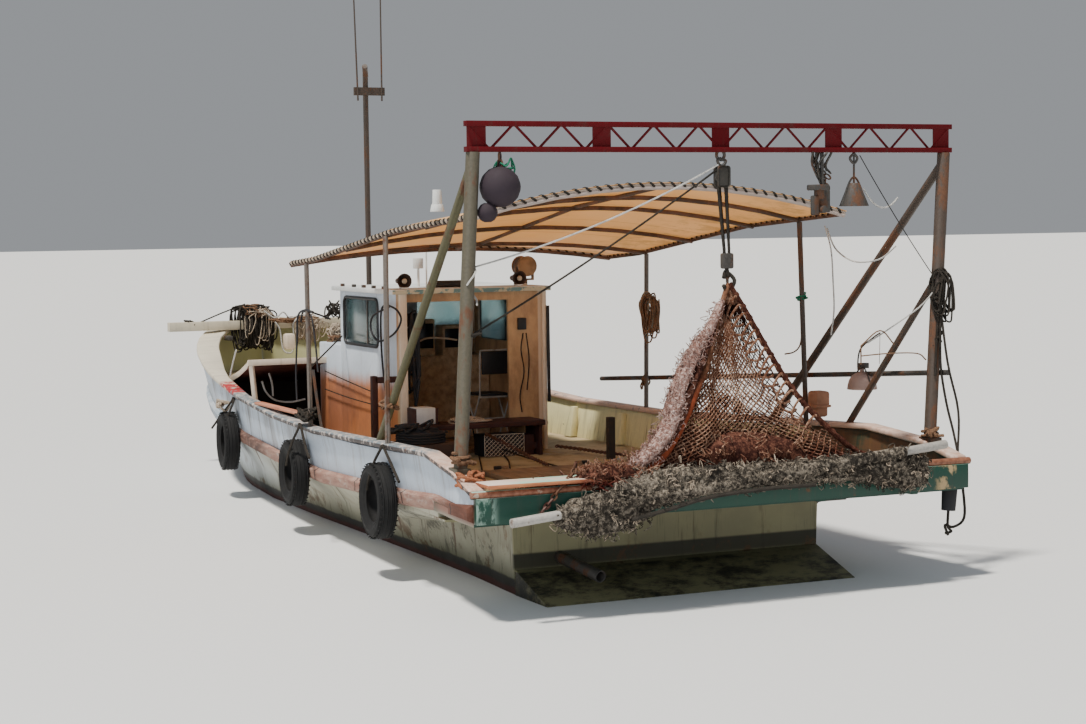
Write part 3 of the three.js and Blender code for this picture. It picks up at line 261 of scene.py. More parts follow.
def hullFinish():
    finish = Finish("hullPaint", 0.55)
    x, y, z = finish.axes()
    ahead = x + 1.6
    low, bend, twist = hullPaint["strake"]
    strakeZ = low + bend * (ahead * ahead) + twist * (ahead * ahead * ahead)
    _, rusty, grain, patches = oldPaint(finish, (0.5, 0.5, 0.5), 0.0, 0.25, 0.0, 2)
    level = z + finish.noise(5, 3) * 0.04
    upper = (z - strakeZ - x.over(-4.3, -5.2) * 0.14).over(-0.01, 0.01)
    # the upper and bow colours are white paint with a blue-grey tint of painted sky shade
    below = finish.mix(x.over(-1.5, 1.5), hullPaint["lower"], hullPaint["bow"])
    side = finish.mix(upper, below, hullPaint["upper"])
    side = finish.mix((x * -1).over(5.42, 5.45), side, hullPaint["transom"])
    side = finish.mix(finish.noise(2.1, 6).over(0.35, 0.7) * 0.4, side, (0.16, 0.15, 0.1))
    plumb = finish.node("ShaderNodeCombineXYZ", {}, {0: x + y.size() * 1.9, 1: 0.0, 2: z * 0.07})
    across = finish.node("ShaderNodeCombineXYZ", {}, {0: 0.0, 1: y, 2: z * 0.07})
    along = finish.mix(finish.facing()[0].size().over(0.55, 0.75), plumb, across)
    runs = finish.node("ShaderNodeTexNoise", {},
                       {"Vector": along, "Scale": 9, "Detail": 5, "Roughness": 0.8})
    rustRuns = finish.node("ShaderNodeTexNoise", {},
                           {"Vector": along, "Scale": 4.5, "Detail": 6, "Roughness": 0.8})
    aft = x.over(-2.4, -4.6)
    side = finish.mix(runs.over(0.53, 0.64) * (0.6 - upper * 0.3) * x.over(-5.8, -5.2), side, grime)
    side = finish.mix(rustRuns.over(0.57, 0.62) * (0.25 + x.over(-5.42, -5.4) * 0.4), side, rustDark)
    blots = finish.noise(7, 7, (1, 1, 0.5), 15, 0.75).over(0.52, 0.6) * aft * x.over(-5.42, -5.4)
    side = finish.mix(blots * 0.8, side, grime)
    # near-black band low on the transom, above the stern extension: painted shade in the recess
    recessShade = x.over(-5.4, -5.45) * z.over(0.29, 0.27) * z.over(0.16, 0.19)
    side = finish.mix(recessShade * 0.92, side, (0.02, 0.018, 0.014))
    side = finish.mix(patches.over(0.55, 0.62) * level.over(0.42, 0.12), side, rustDark)
    side = finish.mix(level.over(0.3, 0.1) * 0.7, side, (0.07, 0.075, 0.035))
    side = finish.mix(level.over(hullPaint["bootTop"] + 0.02, hullPaint["bootTop"]), side,
                      hullPaint["boot"])
    side = finish.mix(level.over(0.075, 0.055), side, hullPaint["foul"])
    weed = finish.mix(finish.noise(4, 8, (1, 0.5, 1), 9, 0.8).over(0.42, 0.6), (0.16, 0.15, 0.08),
                      (0.014, 0.013, 0.01))
    slope = x.over(-5.43, -5.46) * z.over(0.165, 0.155)
    side = finish.mix(slope, side, finish.mix(x.over(-5.95, -6.05), weed, (0.016, 0.014, 0.01)))
    deck = finish.mix(finish.noise(3, 7).over(0.3, 0.7), hullPaint["deck"], (0.32, 0.25, 0.15))
    deck = finish.mix(patches.over(0.5, 0.66) * 0.55, deck, (0.08, 0.06, 0.04))
    # near-black deck from about x 0.1 to 1.7: painted shade under the hood
    deck = finish.mix(x.over(-0.3, 0.1) * x.over(1.85, 1.7), deck, (0.016, 0.012, 0.01))
    flat = finish.facing()[2].over(0.75, 0.85) * z.over(0.3, 0.35)
    colour = finish.mix(flat, side, deck)
    fittings = z.over(0.556, 0.56) * x.over(1.85, 1.8) + z.over(0.956, 0.96)
    colour = finish.mix(fittings.least(1), colour, hullPaint["iron"])
    colour = finish.mix(rusty * 0.5, colour, finish.mix(grain, rustDark, rustBright))
    return finish.use(colour, 0.5 + patches * 0.3, grain * 0.5 + runs * 0.3, 0.3, 0.004).material


# Bulwark: white outside, tinted blue-grey as painted sky shade, with seams and dirty runs, and cream
# inside, green at the bow, near-black as painted shade under the hood, and dark at the stern
def bulwarkFinish():
    finish = Finish("bulwarkPaint", 0.5)
    x, y, z = finish.axes()
    outward = (finish.facing()[1] * y).over(-0.02, 0.02)
    # outer base: white paint with a blue-grey tint of painted sky shade
    outer, rusty, grain, patches = oldPaint(finish, (0.55, 0.63, 0.73), 0.16, 0.12, 0.1, 1)
    inner, _, _, innerPatches = oldPaint(finish, (0.8, 0.74, 0.42), 0.3, 0.35, 0.15, 7)
    inside = finish.mix(x.over(1.7, 2.0), inner,
                        finish.mix(innerPatches, (0.42, 0.42, 0.2), (0.5, 0.5, 0.32)))
    inside = finish.mix(x.over(-4.55, -4.7), inside,
                        finish.mix(innerPatches.over(0.4, 0.6), (0.02, 0.035, 0.022), (0.1, 0.05, 0.025)))
    # near-black inside from about x 0.1 to 1.8: painted shade under the hood
    inside = finish.mix(x.over(-0.15, 0.1) * x.over(1.9, 1.78), inside, (0.02, 0.014, 0.011))
    seams = (x * 2.4).calc("PINGPONG", x * 2.4, 0.5).over(0.024, 0.01) * x.over(-2.5, -2.3)
    outer = finish.mix(seams * patches.over(0.34, 0.42) * 0.9, outer, (0.06, 0.06, 0.06))
    height = z - 0.035 * (x + 1) * (x + 1)
    drips = finish.runs(15, 21, 0.04, 0.85).over(0.56, 0.63) * height.over(0.6, 0.85)
    outer = finish.mix(drips * 0.85, outer, (0.06, 0.04, 0.03))
    shade = finish.runs(3, 33, 0.2, 0.7).over(0.5, 0.66) * height.over(0.35, 0.8)
    outer = finish.mix(shade * 0.55, outer, (0.16, 0.14, 0.12))
    stains = finish.runs(7, 17, 0.05, 0.85).over(0.5, 0.62) * height.over(0.85, 0.6)
    inside = finish.mix(stains * 0.75 * x.over(1.9, 1.7), inside, (0.12, 0.06, 0.025))
    outer = finish.mix(x.over(-4.5, -4.7) * z.over(0.67, 0.64), outer, hullPaint["lower"])
    low = finish.runs(8, 31, 0.06, 0.8).over(0.55, 0.66)
    outer = finish.mix(low * 0.5, outer, (0.2, 0.15, 0.1))
    colour = finish.mix(outward, inside, outer)
    return finish.use(colour, 0.5 + rusty * 0.35, grain * 0.4 + rusty * 0.6, 0.25, 0.004).material


# Gunwale cap: cream at the bow, chipped blue-grey midships and pinker to starboard, pink tan at the stern,
# with a red patch beside the hood
def capFinish():
    finish = Finish("capPaint", 0.5)
    x, y, _ = finish.axes()
    paint, rusty, grain, _ = oldPaint(finish, (0.68, 0.62, 0.5), 0.3, 0.2, 0.3, 4)
    chips = finish.noise(16, 6, shift=6, roughness=0.7)
    middle = finish.mix(chips.over(0.5, 0.56), (0.17, 0.21, 0.24), (0.52, 0.46, 0.42))
    middle = finish.mix(y.over(0, -0.5) * chips.over(0.36, 0.44), middle, (0.6, 0.42, 0.34))
    middle = finish.mix(chips.over(0.4, 0.33), middle, (0.04, 0.045, 0.05))
    stern = finish.mix(chips.over(0.42, 0.6), (0.62, 0.47, 0.4), (0.5, 0.32, 0.24))
    colour = finish.mix(x.over(0.5, 0.8), middle, paint)
    colour = finish.mix(x.over(-5.3, -5.5), colour, stern)
    colour = finish.mix(x.over(0.42, 0.5) * x.over(1.15, 0.95) * chips.over(0.42, 0.47), colour,
                        (0.4, 0.02, 0.025))
    scuffs = finish.facing()[2].over(0.4, 0.2) * chips.over(0.62, 0.5) * x.over(0.6, 0.2)
    scuffs = scuffs * (finish.facing()[1] * y).over(-0.1, 0.1)
    colour = finish.mix(scuffs, colour, (0.05, 0.04, 0.04))
    colour = finish.mix(rusty * 0.7, colour, finish.mix(grain, rustDark, rustBright))
    return finish.use(colour, 0.45 + chips * 0.3, chips * 0.6 + grain * 0.4, 0.35, 0.004).material


def strakeFinish():
    finish = Finish("strakePaint", 0.7)
    x = finish.axes()[0]
    chips = finish.noise(13, 7, (0.5, 1, 1.4), 2, 0.75)
    grain = finish.noise(30, 4, (0.15, 1, 1), 5)
    red = finish.mix(grain.over(0.3, 0.7), (0.24, 0.12, 0.09), (0.36, 0.22, 0.17))
    colour = finish.mix(chips.over(0.52, 0.62) * 0.7, red, (0.4, 0.32, 0.28))
    colour = finish.mix(chips.over(0.4, 0.33), colour, (0.06, 0.045, 0.035))
    fore = (x + 0.05).size().over(0.75, 0.35) * chips.over(0.3, 0.55)
    colour = finish.mix(fore * 0.85, colour, (0.05, 0.022, 0.018))
    aft = x.over(-5.3, -6.0) * chips.over(0.28, 0.42)
    colour = finish.mix(aft * 0.9, colour, finish.mix(grain, (0.035, 0.012, 0.008), (0.15, 0.04, 0.018)))
    joints = (x * 0.85).calc("PINGPONG", x * 0.85, 0.5).over(0.012, 0.006)
    colour = finish.mix(joints, colour, (0.03, 0.02, 0.018))
    colour = finish.mix(x.over(0.75, 1.05), colour,
                        finish.mix(chips.over(0.4, 0.6), (0.3, 0.36, 0.42), (0.46, 0.5, 0.54)))
    return finish.use(colour, 0.6 + chips * 0.3, grain * 0.6 + chips * 0.6, 0.5, 0.006).material


def greenFinish():
    finish = Finish("platformPaint", 0.5)
    x, y, z = finish.axes()
    paint, rusty, grain, _ = oldPaint(finish, (0.003, 0.048, 0.031), 0.45, 0.55, 0.35, 3)
    top = finish.facing()[2].over(0.6, 0.9)
    worn = finish.mix(finish.noise(7, 6, shift=8).over(0.4, 0.6), (0.16, 0.36, 0.3), (0.55, 0.5, 0.44))
    colour = finish.mix(top * z.over(0.76, 0.8), paint, worn)
    corner = (y - 1.8).size().over(0.11, 0.04).most((y + 1.68).size().over(0.13, 0.05))
    corner = corner * x.over(-6.37, -6.38)
    fleck = finish.noise(11, 6, (1, 1, 0.6), 3).over(0.46, 0.56)
    colour = finish.mix(corner * fleck, colour,
                        finish.mix(y.over(-0.5, 0.5), (0.42, 0.3, 0.15), (0.2, 0.3, 0.25)))
    lip = z.over(0.806, 0.809)
    copper = finish.mix(grain.over(0.3, 0.7), (0.16, 0.05, 0.025), (0.3, 0.13, 0.075))
    copper = finish.mix(finish.noise(9, 6, shift=4).over(0.6, 0.64), copper, (0.36, 0.28, 0.22))
    teal = finish.facing()[2].over(0.75, 0.9) * y.over(0.85, 1.0) * finish.noise(7, 5, (1, 0.3, 1),
            2).over(0.35, 0.42)
    colour = finish.mix(lip, colour, finish.mix(teal, copper, (0.3, 0.55, 0.47)))
    side = finish.facing()[1].size().over(0.5, 0.7) * y.size().over(1.75, 1.8) * x.over(-6.36, -6.3)
    colour = finish.mix(side, colour, finish.mix(z.over(0.6, 0.66), (0.3, 0.29, 0.22), (0.2, 0.09, 0.06)))
    return finish.use(colour, 0.5 + rusty * 0.35, grain * 0.5 + rusty * 0.5, 0.35, 0.005).material


def railTopFinish():
    finish = Finish("railTopPaint", 0.45)
    flakes = finish.noise(6, 5, (1, 0.4, 1), 3, 0.7)
    top = finish.mix(flakes.over(0.42, 0.6), (0.3, 0.57, 0.46), (0.62, 0.5, 0.42))
    top = finish.mix(finish.axes()[1].over(1.5, 1.7), top, (0.72, 0.6, 0.52))
    copper = finish.mix(flakes.over(0.35, 0.65), (0.5, 0.19, 0.08), (0.26, 0.075, 0.035))
    colour = finish.mix(finish.facing()[2].over(0.5, 0.8), copper, top)
    return finish.use(colour, 0.4 + flakes * 0.3, flakes, 0.3, 0.004).material


def pipeFinish(name, base, rust, seed=0.0):
    finish = Finish(name, 0.6, 0.0, 0.4)
    blotch = finish.noise(6, 7, (1, 1, 0.5), seed, 0.7)
    grain = finish.noise(60, 4, shift=seed)
    colour = finish.mix(grain.over(0.3, 0.7) * 0.5, base, [c * 0.55 for c in base])
    spots = blotch.over(0.62 - rust * 0.3, 0.7 - rust * 0.25)
    colour = finish.mix(spots, colour, finish.mix(grain, (0.06, 0.03, 0.018), (0.15, 0.065, 0.032)))
    return finish.use(colour, 0.55 + spots * 0.3, grain * 0.5 + spots, 0.4, 0.003).material


def canvasFinish():
    finish = Finish("shelterCloth", 0.85, 0, 0.1)
    x, y, _ = finish.axes()
    weave = finish.wave(90, 0.2, "X") * finish.wave(90, 0.2, "Y")
    fade = finish.noise(1.2, 5, shift=3)
    blots = finish.noise(5, 7, shift=7, roughness=0.7)
    colour = finish.mix(fade.over(0.3, 0.7), (0.78, 0.54, 0.28), (0.88, 0.67, 0.42))
    colour = finish.mix(x.over(-2.5, -2.1), colour, (0.86, 0.68, 0.56))
    seams = ((x * 1.55 + 0.2).calc("PINGPONG", x * 1.55 + 0.2, 0.5)).over(0.022, 0.008)
    colour = finish.mix(seams * 0.5, colour, (0.22, 0.1, 0.05))
    colour = finish.mix(blots.over(0.6, 0.75) * 0.5, colour, (0.2, 0.12, 0.07))
    colour = finish.mix(y.over(-0.7, -1.3) * blots.over(0.45, 0.6) * 0.6, colour, (0.16, 0.09, 0.05))
    finish.use(colour, 0.85, weave + blots * 0.5, 0.25, 0.002)
    glow = finish.node("ShaderNodeBsdfTranslucent", {}, {"Color": (0.95, 0.65, 0.33)})
    both = finish.node("ShaderNodeMixShader", {},
                       {0: 0.5, 1: Wire(finish, finish.shader.outputs[0]), 2: glow})
    output = next(n for n in finish.tree.nodes if n.type == "OUTPUT_MATERIAL")
    finish.tree.links.new(both.socket, output.inputs[0])
    return finish.material


def frameFinish():
    finish = Finish("shelterPipe", 0.6)
    x = finish.axes()[0]
    blotch = finish.noise(7, 6, shift=5, roughness=0.7)
    colour = finish.mix(blotch.over(0.4, 0.6), (0.06, 0.036, 0.024), (0.14, 0.07, 0.045))
    colour = finish.mix(x.over(-5.35, -5.37), colour,
                        finish.mix(blotch, (0.32, 0.24, 0.2), (0.62, 0.54, 0.5)))
    return finish.use(colour, 0.5 + blotch * 0.4, blotch, 0.35, 0.003).material


def rubberFinish(name, base=(0.005, 0.005, 0.0055), rough=0.8):
    finish = Finish(name, rough)
    dust = finish.noise(9, 6, shift=2)
    grain = finish.noise(80, 3)
    colour = finish.mix(dust.over(0.5, 0.8) * 0.2, base, (0.06, 0.056, 0.052))
    return finish.use(colour, 0.65 + dust * 0.3, grain + dust, 0.25, 0.003).material


def ropeFinish(name, dark, light, twist=140):
    finish = Finish(name, 0.9, 0, 0.15)
    lay = finish.wave(twist, 1.0, "DIAGONAL")
    worn = finish.noise(12, 5, shift=1)
    colour = finish.mix(lay, dark, light)
    colour = finish.mix(worn.over(0.45, 0.7) * 0.5, colour, [c * 0.5 for c in dark])
    return finish.use(colour, 0.9, lay, 0.6, 0.004).material


def netFinish(name, dark, middle, light, scale=26, low=None):
    finish = Finish(name, 0.95, 0, 0.1)
    z = finish.axes()[2]
    fibre = finish.noise(scale, 6, shift=2, roughness=0.8)
    clump = finish.noise(3.2, 4, shift=6)
    ramp = finish.node("ShaderNodeValToRGB",
                       {"stops": [(0.3, dark), (0.48, middle), (0.62, light), (0.75, middle)]},
                       {0: fibre * 0.75 + clump * 0.25})
    if low:
        ramp = finish.mix((z + clump * 0.2).over(low[0] + 0.12, low[0] - 0.08) * fibre.over(0.2, 0.45),
                          ramp, low[1])
    return finish.use(ramp, 0.95, fibre, 0.8, 0.01).material


def woodFinish(name, base, dark):
    finish = Finish(name, 0.6)
    grain = finish.noise(18, 6, (0.12, 1, 1), 2, 0.7)
    stain = finish.noise(2.5, 6, shift=6)
    colour = finish.mix(grain.over(0.3, 0.7), base, dark)
    colour = finish.mix(stain.over(0.5, 0.75) * 0.7, colour, grime)
    return finish.use(colour, 0.55 + stain * 0.3, grain, 0.35, 0.004).material


# Wheelhouse: white outside, tinted blue-grey as painted sky shade, orange-brown low down on the port side,
# tan inside
def houseFinish():
    finish = Finish("housePaint", 0.5)
    x, y, z = finish.axes()
    # base: white paint with a blue-grey tint of painted sky shade
    paint, rusty, grain, _ = oldPaint(finish, (0.6, 0.67, 0.76), 0.1, 0.1, 0.1, 5)
    stain = finish.noise(2.2, 7, (1, 1, 0.5), 4, 0.7)
    drips = finish.runs(13, 3)
    brown = finish.mix(stain.over(0.35, 0.65), (0.62, 0.2, 0.045), (0.36, 0.11, 0.03))
    brown = finish.mix(drips.over(0.55, 0.7) * 0.5, brown, (0.16, 0.05, 0.02))
    inside = (finish.facing()[1] * y).over(0.02, -0.02).most(x.over(-1.86, -1.88))
    low = (z + stain * 0.08 + drips * 0.12).over(1.35, 1.18)
    wallLow = low * y.over(0.6, 0.65) * x.over(0.2, 0.1)
    colour = finish.mix(wallLow * 0.93, paint, brown)
    tan = finish.mix(stain.over(0.35, 0.65), (0.6, 0.38, 0.2), (0.3, 0.17, 0.09))
    tan = finish.mix(finish.facing()[0].over(-0.5, -0.7) * y.size().over(0.61, 0.625), tan,
                     (0.62, 0.5, 0.38))
    colour = finish.mix(inside * x.over(-0.42, -0.46), colour, tan)
    colour = finish.mix(finish.runs(12, 8, 0.05, 0.8).over(0.6, 0.7) * 0.6, colour, rustDark)
    return finish.use(colour, 0.5 + rusty * 0.3, grain * 0.4 + stain * 0.4, 0.25, 0.004).material


def roofFinish():
    finish = Finish("roofPaint", 0.5)
    x, _, z = finish.axes()
    flakes = finish.noise(8, 6, shift=3, roughness=0.7)
    paint, _, grain, _ = oldPaint(finish, (0.7, 0.72, 0.72), 0.1, 0.15, 0.25, 6)
    edge = z.over(1.968, 1.964) * x.over(-1.95, -1.955)
    peeled = finish.mix(flakes.over(0.48, 0.54), (0.13, 0.24, 0.25), (0.56, 0.5, 0.36))
    colour = finish.mix(edge, paint, peeled)
    fittings = z.over(1.985, 1.99)
    brass = finish.mix(flakes.over(0.42, 0.6), (0.26, 0.16, 0.085), (0.06, 0.035, 0.022))
    brass = finish.mix(x.over(-1.8, -1.84), brass, (0.05, 0.028, 0.02))
    colour = finish.mix(fittings, colour, brass)
    lamp = fittings * (x + 1.4).size().over(0.1, 0.08)
    colour = finish.mix(lamp, colour, (0.7, 0.7, 0.68))
    return finish.use(colour, 0.5 + flakes * 0.3, flakes + grain * 0.4, 0.35, 0.004).material


def plainFinish(name, base, rough=0.5, metallic=0.0, wear=0.35, scale=20):
    finish = Finish(name, rough, metallic)
    spots = finish.noise(scale, 6, shift=1)
    colour = finish.mix(spots.over(0.4, 0.7) * wear, base, [c * 0.45 for c in base])
    return finish.use(colour, rough + spots * 0.15, spots, 0.2, 0.003).material


# Hood paint: cream, with painted shade on its undersides and low at its forward end
def hoodFinish():
    finish = Finish("hoodPaint", 0.5)
    x, _, z = finish.axes()
    paint, rusty, grain, patches = oldPaint(finish, (0.8, 0.68, 0.54), 0.3, 0.25, 0.2, 9)
    # downward faces aft of x 1.86 painted near-black red-brown: painted shade under the hood
    under = finish.facing()[2].over(-0.4, -0.6) * x.over(1.9, 1.86)
    colour = finish.mix(under, paint,
                        finish.mix(patches.over(0.4, 0.6), (0.05, 0.014, 0.01), (0.12, 0.035, 0.022)))
    # near-black low band at the hood's forward end, below z 0.97: painted shade in its void
    colour = finish.mix(x.over(1.7, 1.75) * x.over(1.88, 1.84) * z.over(0.99, 0.97), colour,
                        (0.03, 0.022, 0.018))
    return finish.use(colour, 0.5 + rusty * 0.35, grain * 0.4 + rusty * 0.6, 0.25, 0.004).material


def glassFinish():
    finish = Finish("windowGlass", 0.08, 0, 0.5)
    finish.shader.inputs["Transmission Weight"].default_value = 0.85
    smear = finish.noise(3, 5, shift=2)
    colour = finish.mix(smear.over(0.35, 0.7), (0.16, 0.28, 0.3), (0.3, 0.4, 0.4))
    return finish.use(colour, 0.08 + smear * 0.2).material


paints = {
    "hull": hullFinish(), "bulwark": bulwarkFinish(), "cap": capFinish(), "strake": strakeFinish(),
    "green": greenFinish(), "post": pipeFinish("galvanisedPipe", (0.095, 0.084, 0.058), 0.3),
    "olive": pipeFinish("oldOlivePipe", (0.1, 0.092, 0.045), 0.25, 4),
    "greyPipe": pipeFinish("shelterPole", (0.14, 0.12, 0.105), 0.35, 12),
    "rustPipe": pipeFinish("rustedPipe", (0.07, 0.05, 0.038), 0.4, 2), "frame": frameFinish(),
    "silver": pipeFinish("barePipe", (0.4, 0.38, 0.35), 0.2, 6),
    "crimson": paintedFinish("beamPaint", (0.1, 0.002, 0.005), 0.3, 0.1, 0.5, 0.6, 3, 2.0, 0.25, 0.15),
    "canvas": canvasFinish(), "tyre": rubberFinish("tyreRubber"),
    "blackRubber": rubberFinish("fenderRubber", (0.02, 0.02, 0.024), 0.55),
    "float": rubberFinish("floatPaint", (0.028, 0.018, 0.026), 0.5),
    "netRed": netFinish("netTwine", (0.02, 0.008, 0.006), (0.17, 0.07, 0.04), (0.56, 0.38, 0.27), 60,
                        (1.0, (0.09, 0.012, 0.01))),
    "netPale": netFinish("netFluff", (0.05, 0.02, 0.016), (0.24, 0.13, 0.105), (0.66, 0.53, 0.49), 50),
    "netBorder": netFinish("netBorder", (0.025, 0.012, 0.008), (0.13, 0.055, 0.03), (0.26, 0.13, 0.08), 24,
                           (1.5, (0.22, 0.05, 0.022))),
    "netDark": netFinish("headRope", (0.012, 0.005, 0.004), (0.055, 0.018, 0.012), (0.15, 0.06, 0.04), 30),
    # heapTwine is the net twine darkened: painted shade for the insides of heaps and the layers behind the
    # hanging net
    "netHeap": netFinish("heapTwine", (0.008, 0.004, 0.004), (0.045, 0.016, 0.012), (0.2, 0.085, 0.055),
                         30),
    "netGrey": netFinish("rollTwine", (0.006, 0.006, 0.006), (0.04, 0.034, 0.028), (0.34, 0.29, 0.23), 30),
    "darkRope": ropeFinish("tarredRope", (0.012, 0.011, 0.01), (0.07, 0.06, 0.05)),
    "paleRope": ropeFinish("paleRope", (0.3, 0.22, 0.15), (0.66, 0.56, 0.45)),
    "whiteRope": ropeFinish("whiteLine", (0.45, 0.44, 0.42), (0.8, 0.79, 0.76)),
    "brownRope": ropeFinish("brownRope", (0.1, 0.05, 0.03), (0.34, 0.2, 0.12)),
    "greenRope": ropeFinish("greenLine", (0.01, 0.12, 0.06), (0.04, 0.3, 0.18)),
    "orangeRope": ropeFinish("orangeLine", (0.2, 0.06, 0.03), (0.55, 0.23, 0.12)),
    "chain": pipeFinish("oldChain", (0.04, 0.036, 0.03), 0.5, 8),
    "rustChain": pipeFinish("rustChain", (0.1, 0.04, 0.03), 0.7, 7),
    "hem": ropeFinish("clothHem", (0.2, 0.15, 0.12), (0.55, 0.47, 0.4), 60),
    "rib": paintedFinish("ribPaint", (0.78, 0.72, 0.4), 0.3, 0.3, 0.15, 0.5, 7),
    "lampPink": plainFinish("lampShade", (0.4, 0.27, 0.23), 0.6, 0, 0.4, 9),
    "consolePaint": woodFinish("consolePaint", (0.66, 0.48, 0.3), (0.4, 0.26, 0.15)),
    "maroon": plainFinish("maroonPaint", (0.05, 0.016, 0.013), 0.6, 0, 0.5, 9),
    "pinkWood": woodFinish("pinkPlank", (0.6, 0.27, 0.17), (0.34, 0.11, 0.06)),
    "brass": plainFinish("lampBrass", (0.34, 0.2, 0.1), 0.5, 0.3, 0.8, 9),
    "paleMetal": plainFinish("hornCore", (0.5, 0.42, 0.32), 0.5, 0.2, 0.4, 9),
    "iron": pipeFinish("darkIron", (0.06, 0.055, 0.05), 0.45, 9),
    "bronze": plainFinish("propellerBronze", (0.36, 0.22, 0.09), 0.4, 0.8, 0.5, 12),
    "wood": woodFinish("deckWood", (0.3, 0.2, 0.12), (0.15, 0.085, 0.045)),
    "house": houseFinish(), "roof": roofFinish(), "glass": glassFinish(),
    "railTop": railTopFinish(), "hood": hoodFinish(),
    "beam": paintedFinish("bowBeamPaint", (0.6, 0.54, 0.42), 0.3, 0.2, 0.3, 0.5, 9),
    "white": paintedFinish("whitePaint", (0.7, 0.71, 0.7), 0.2, 0.1, 0.15, 0.5, 2, 3.0),
    "black": plainFinish("blackPlastic", (0.02, 0.021, 0.024), 0.45, 0, 0.3),
    "screen": plainFinish("darkScreen", (0.01, 0.014, 0.018), 0.15, 0, 0.2),
    "red": plainFinish("redKnob", (0.32, 0.02, 0.02), 0.45, 0, 0.4),
    "terracotta": plainFinish("potClay", (0.42, 0.2, 0.12), 0.8, 0, 0.4, 8),
    "crate": plainFinish("darkCrate", (0.06, 0.035, 0.028), 0.6, 0, 0.4),
    "floor": plainFinish("studioFloor", studio["floorColour"], 0.9, 0, 0.0),
}
print("finishes ready:", len(paints))


# Small modelling steps
def pickOnly(piece):
    bpy.ops.object.select_all(action="DESELECT")
    piece.select_set(True)
    bpy.context.view_layer.objects.active = piece


def editAll(piece):
    pickOnly(piece)
    bpy.ops.object.mode_set(mode="EDIT")
    bpy.ops.mesh.select_all(action="SELECT")


def leaveEdit():
    bpy.ops.object.mode_set(mode="OBJECT")


def applied(piece, *names):  # bakes the modifiers of these names into the mesh
    pickOnly(piece)
    for name in names:
        bpy.ops.object.modifier_apply(modifier=name)


def faceOutward(piece):
    editAll(piece)
    bpy.ops.mesh.normals_make_consistent(inside=False)
    leaveEdit()


def pickNothing(piece, kind):  # no vertex or edge selected, ready to choose some
    editAll(piece)
    bpy.ops.mesh.select_mode(type=kind)
    bpy.ops.mesh.select_all(action="DESELECT")
    leaveEdit()


def mergedCopy(source, name, gap):  # a copy of a node's mesh, left in edit mode
    piece = bpy.data.objects.new(name, source.data.copy())
    bpy.context.scene.collection.objects.link(piece)
    editAll(piece)
    bpy.ops.mesh.remove_doubles(threshold=gap)
    return piece


def settle(piece, paint, name=None, body="boat", angle=35, replaces=()):
    pickOnly(piece)
    bpy.ops.object.transform_apply(location=True, rotation=True, scale=True)
    if piece.type == "MESH":
        bpy.ops.object.shade_smooth_by_angle(angle=math.radians(angle))
    piece.name = name or piece.name
    piece.data.materials.clear()
    piece.data.materials.append(paints[paint])
    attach(piece, body)
    if replaces:
        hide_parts(*replaces)
    return piece


def block(low, high, bevel=0.008, segments=2):
    middle = [(a + b) / 2 for a, b in zip(low, high)]
    bpy.ops.object.select_all(action="DESELECT")
    bpy.ops.mesh.primitive_cube_add(size=1, location=middle, scale=[b - a for a, b in zip(low, high)])
    piece = bpy.context.object
    bpy.ops.object.transform_apply(location=True, rotation=True, scale=True)
    editAll(piece)
    bpy.ops.mesh.bevel(offset=bevel, segments=segments, affect="EDGES")
    leaveEdit()
    return piece


def blockAt(spot, low, high, bevel=0.008, segments=2):  # a block by its corners' distance from a place
    return block([s + d for s, d in zip(spot, low)], [s + d for s, d in zip(spot, high)], bevel, segments)


def drum(start, end, radius, sides=24, endRadius=None, bevel=0.004):
    a, b = Vector(start), Vector(end)
    bpy.ops.object.select_all(action="DESELECT")
    bpy.ops.mesh.primitive_cone_add(
        vertices=sides, radius1=radius, radius2=endRadius if endRadius is not None else radius,
        depth=(b - a).length, location=(a + b) / 2, rotation=(b - a).to_track_quat("Z", "Y").to_euler(),
    )
    piece = bpy.context.object
    bpy.ops.object.transform_apply(location=True, rotation=True, scale=True)
    if bevel:
        bevelEdges(piece, bevel, 40)
    return piece


def bevelEdges(piece, width, angle):
    cut = piece.modifiers.new("edges", "BEVEL")
    cut.width = width
    cut.segments = 2
    cut.angle_limit = math.radians(angle)
    applied(piece, cut.name)


def joined(pieces):
    bpy.ops.object.select_all(action="DESELECT")
    for piece in pieces:
        piece.select_set(True)
    bpy.context.view_layer.objects.active = pieces[0]
    bpy.ops.object.join()
    return bpy.context.object


def lines(paths, radius, sides=8, closed=False):
    data = bpy.data.curves.new("line", "CURVE")
    data.dimensions = "3D"
    data.bevel_depth = radius
    data.bevel_resolution = max(0, (sides - 4) // 2)
    data.use_fill_caps = True
    for path in paths:
        spline = data.splines.new("POLY")
        spline.points.add(len(path) - 1)
        spline.use_cyclic_u = closed
        for point, place in zip(spline.points, path):
            point.co = (*place, 1)
    piece = bpy.data.objects.new("line", data)
    bpy.context.scene.collection.objects.link(piece)
    return piece


def tubes(paths, radius, sides=8, closed=False):
    piece = lines(paths, radius, sides, closed)
    pickOnly(piece)
    bpy.ops.object.convert(target="MESH")
    return bpy.context.object


def curved(points, steps=6):  # a smooth run through the points
    spots = [Vector(p) for p in points]
    spots = [spots[0] * 2 - spots[1], *spots, spots[-1] * 2 - spots[-2]]
    made = []
    for i in range(1, len(spots) - 2):
        a, b, c, d = spots[i - 1:i + 3]
        for s in range(steps):
            t = s / steps
            square, cubic = 2 * a - 5 * b + 4 * c - d, 3 * b - a - 3 * c + d
            made.append(0.5 * (2 * b + (c - a) * t + square * t * t + cubic * t ** 3))
    return [*made, spots[-2]]


def hung(a, b, sag, steps=14):  # a line between two points with its middle down by sag
    a, b = Vector(a), Vector(b)
    return [a.lerp(b, i / steps) - Vector((0, 0, 4 * sag * i / steps * (1 - i / steps)))
            for i in range(steps + 1)]


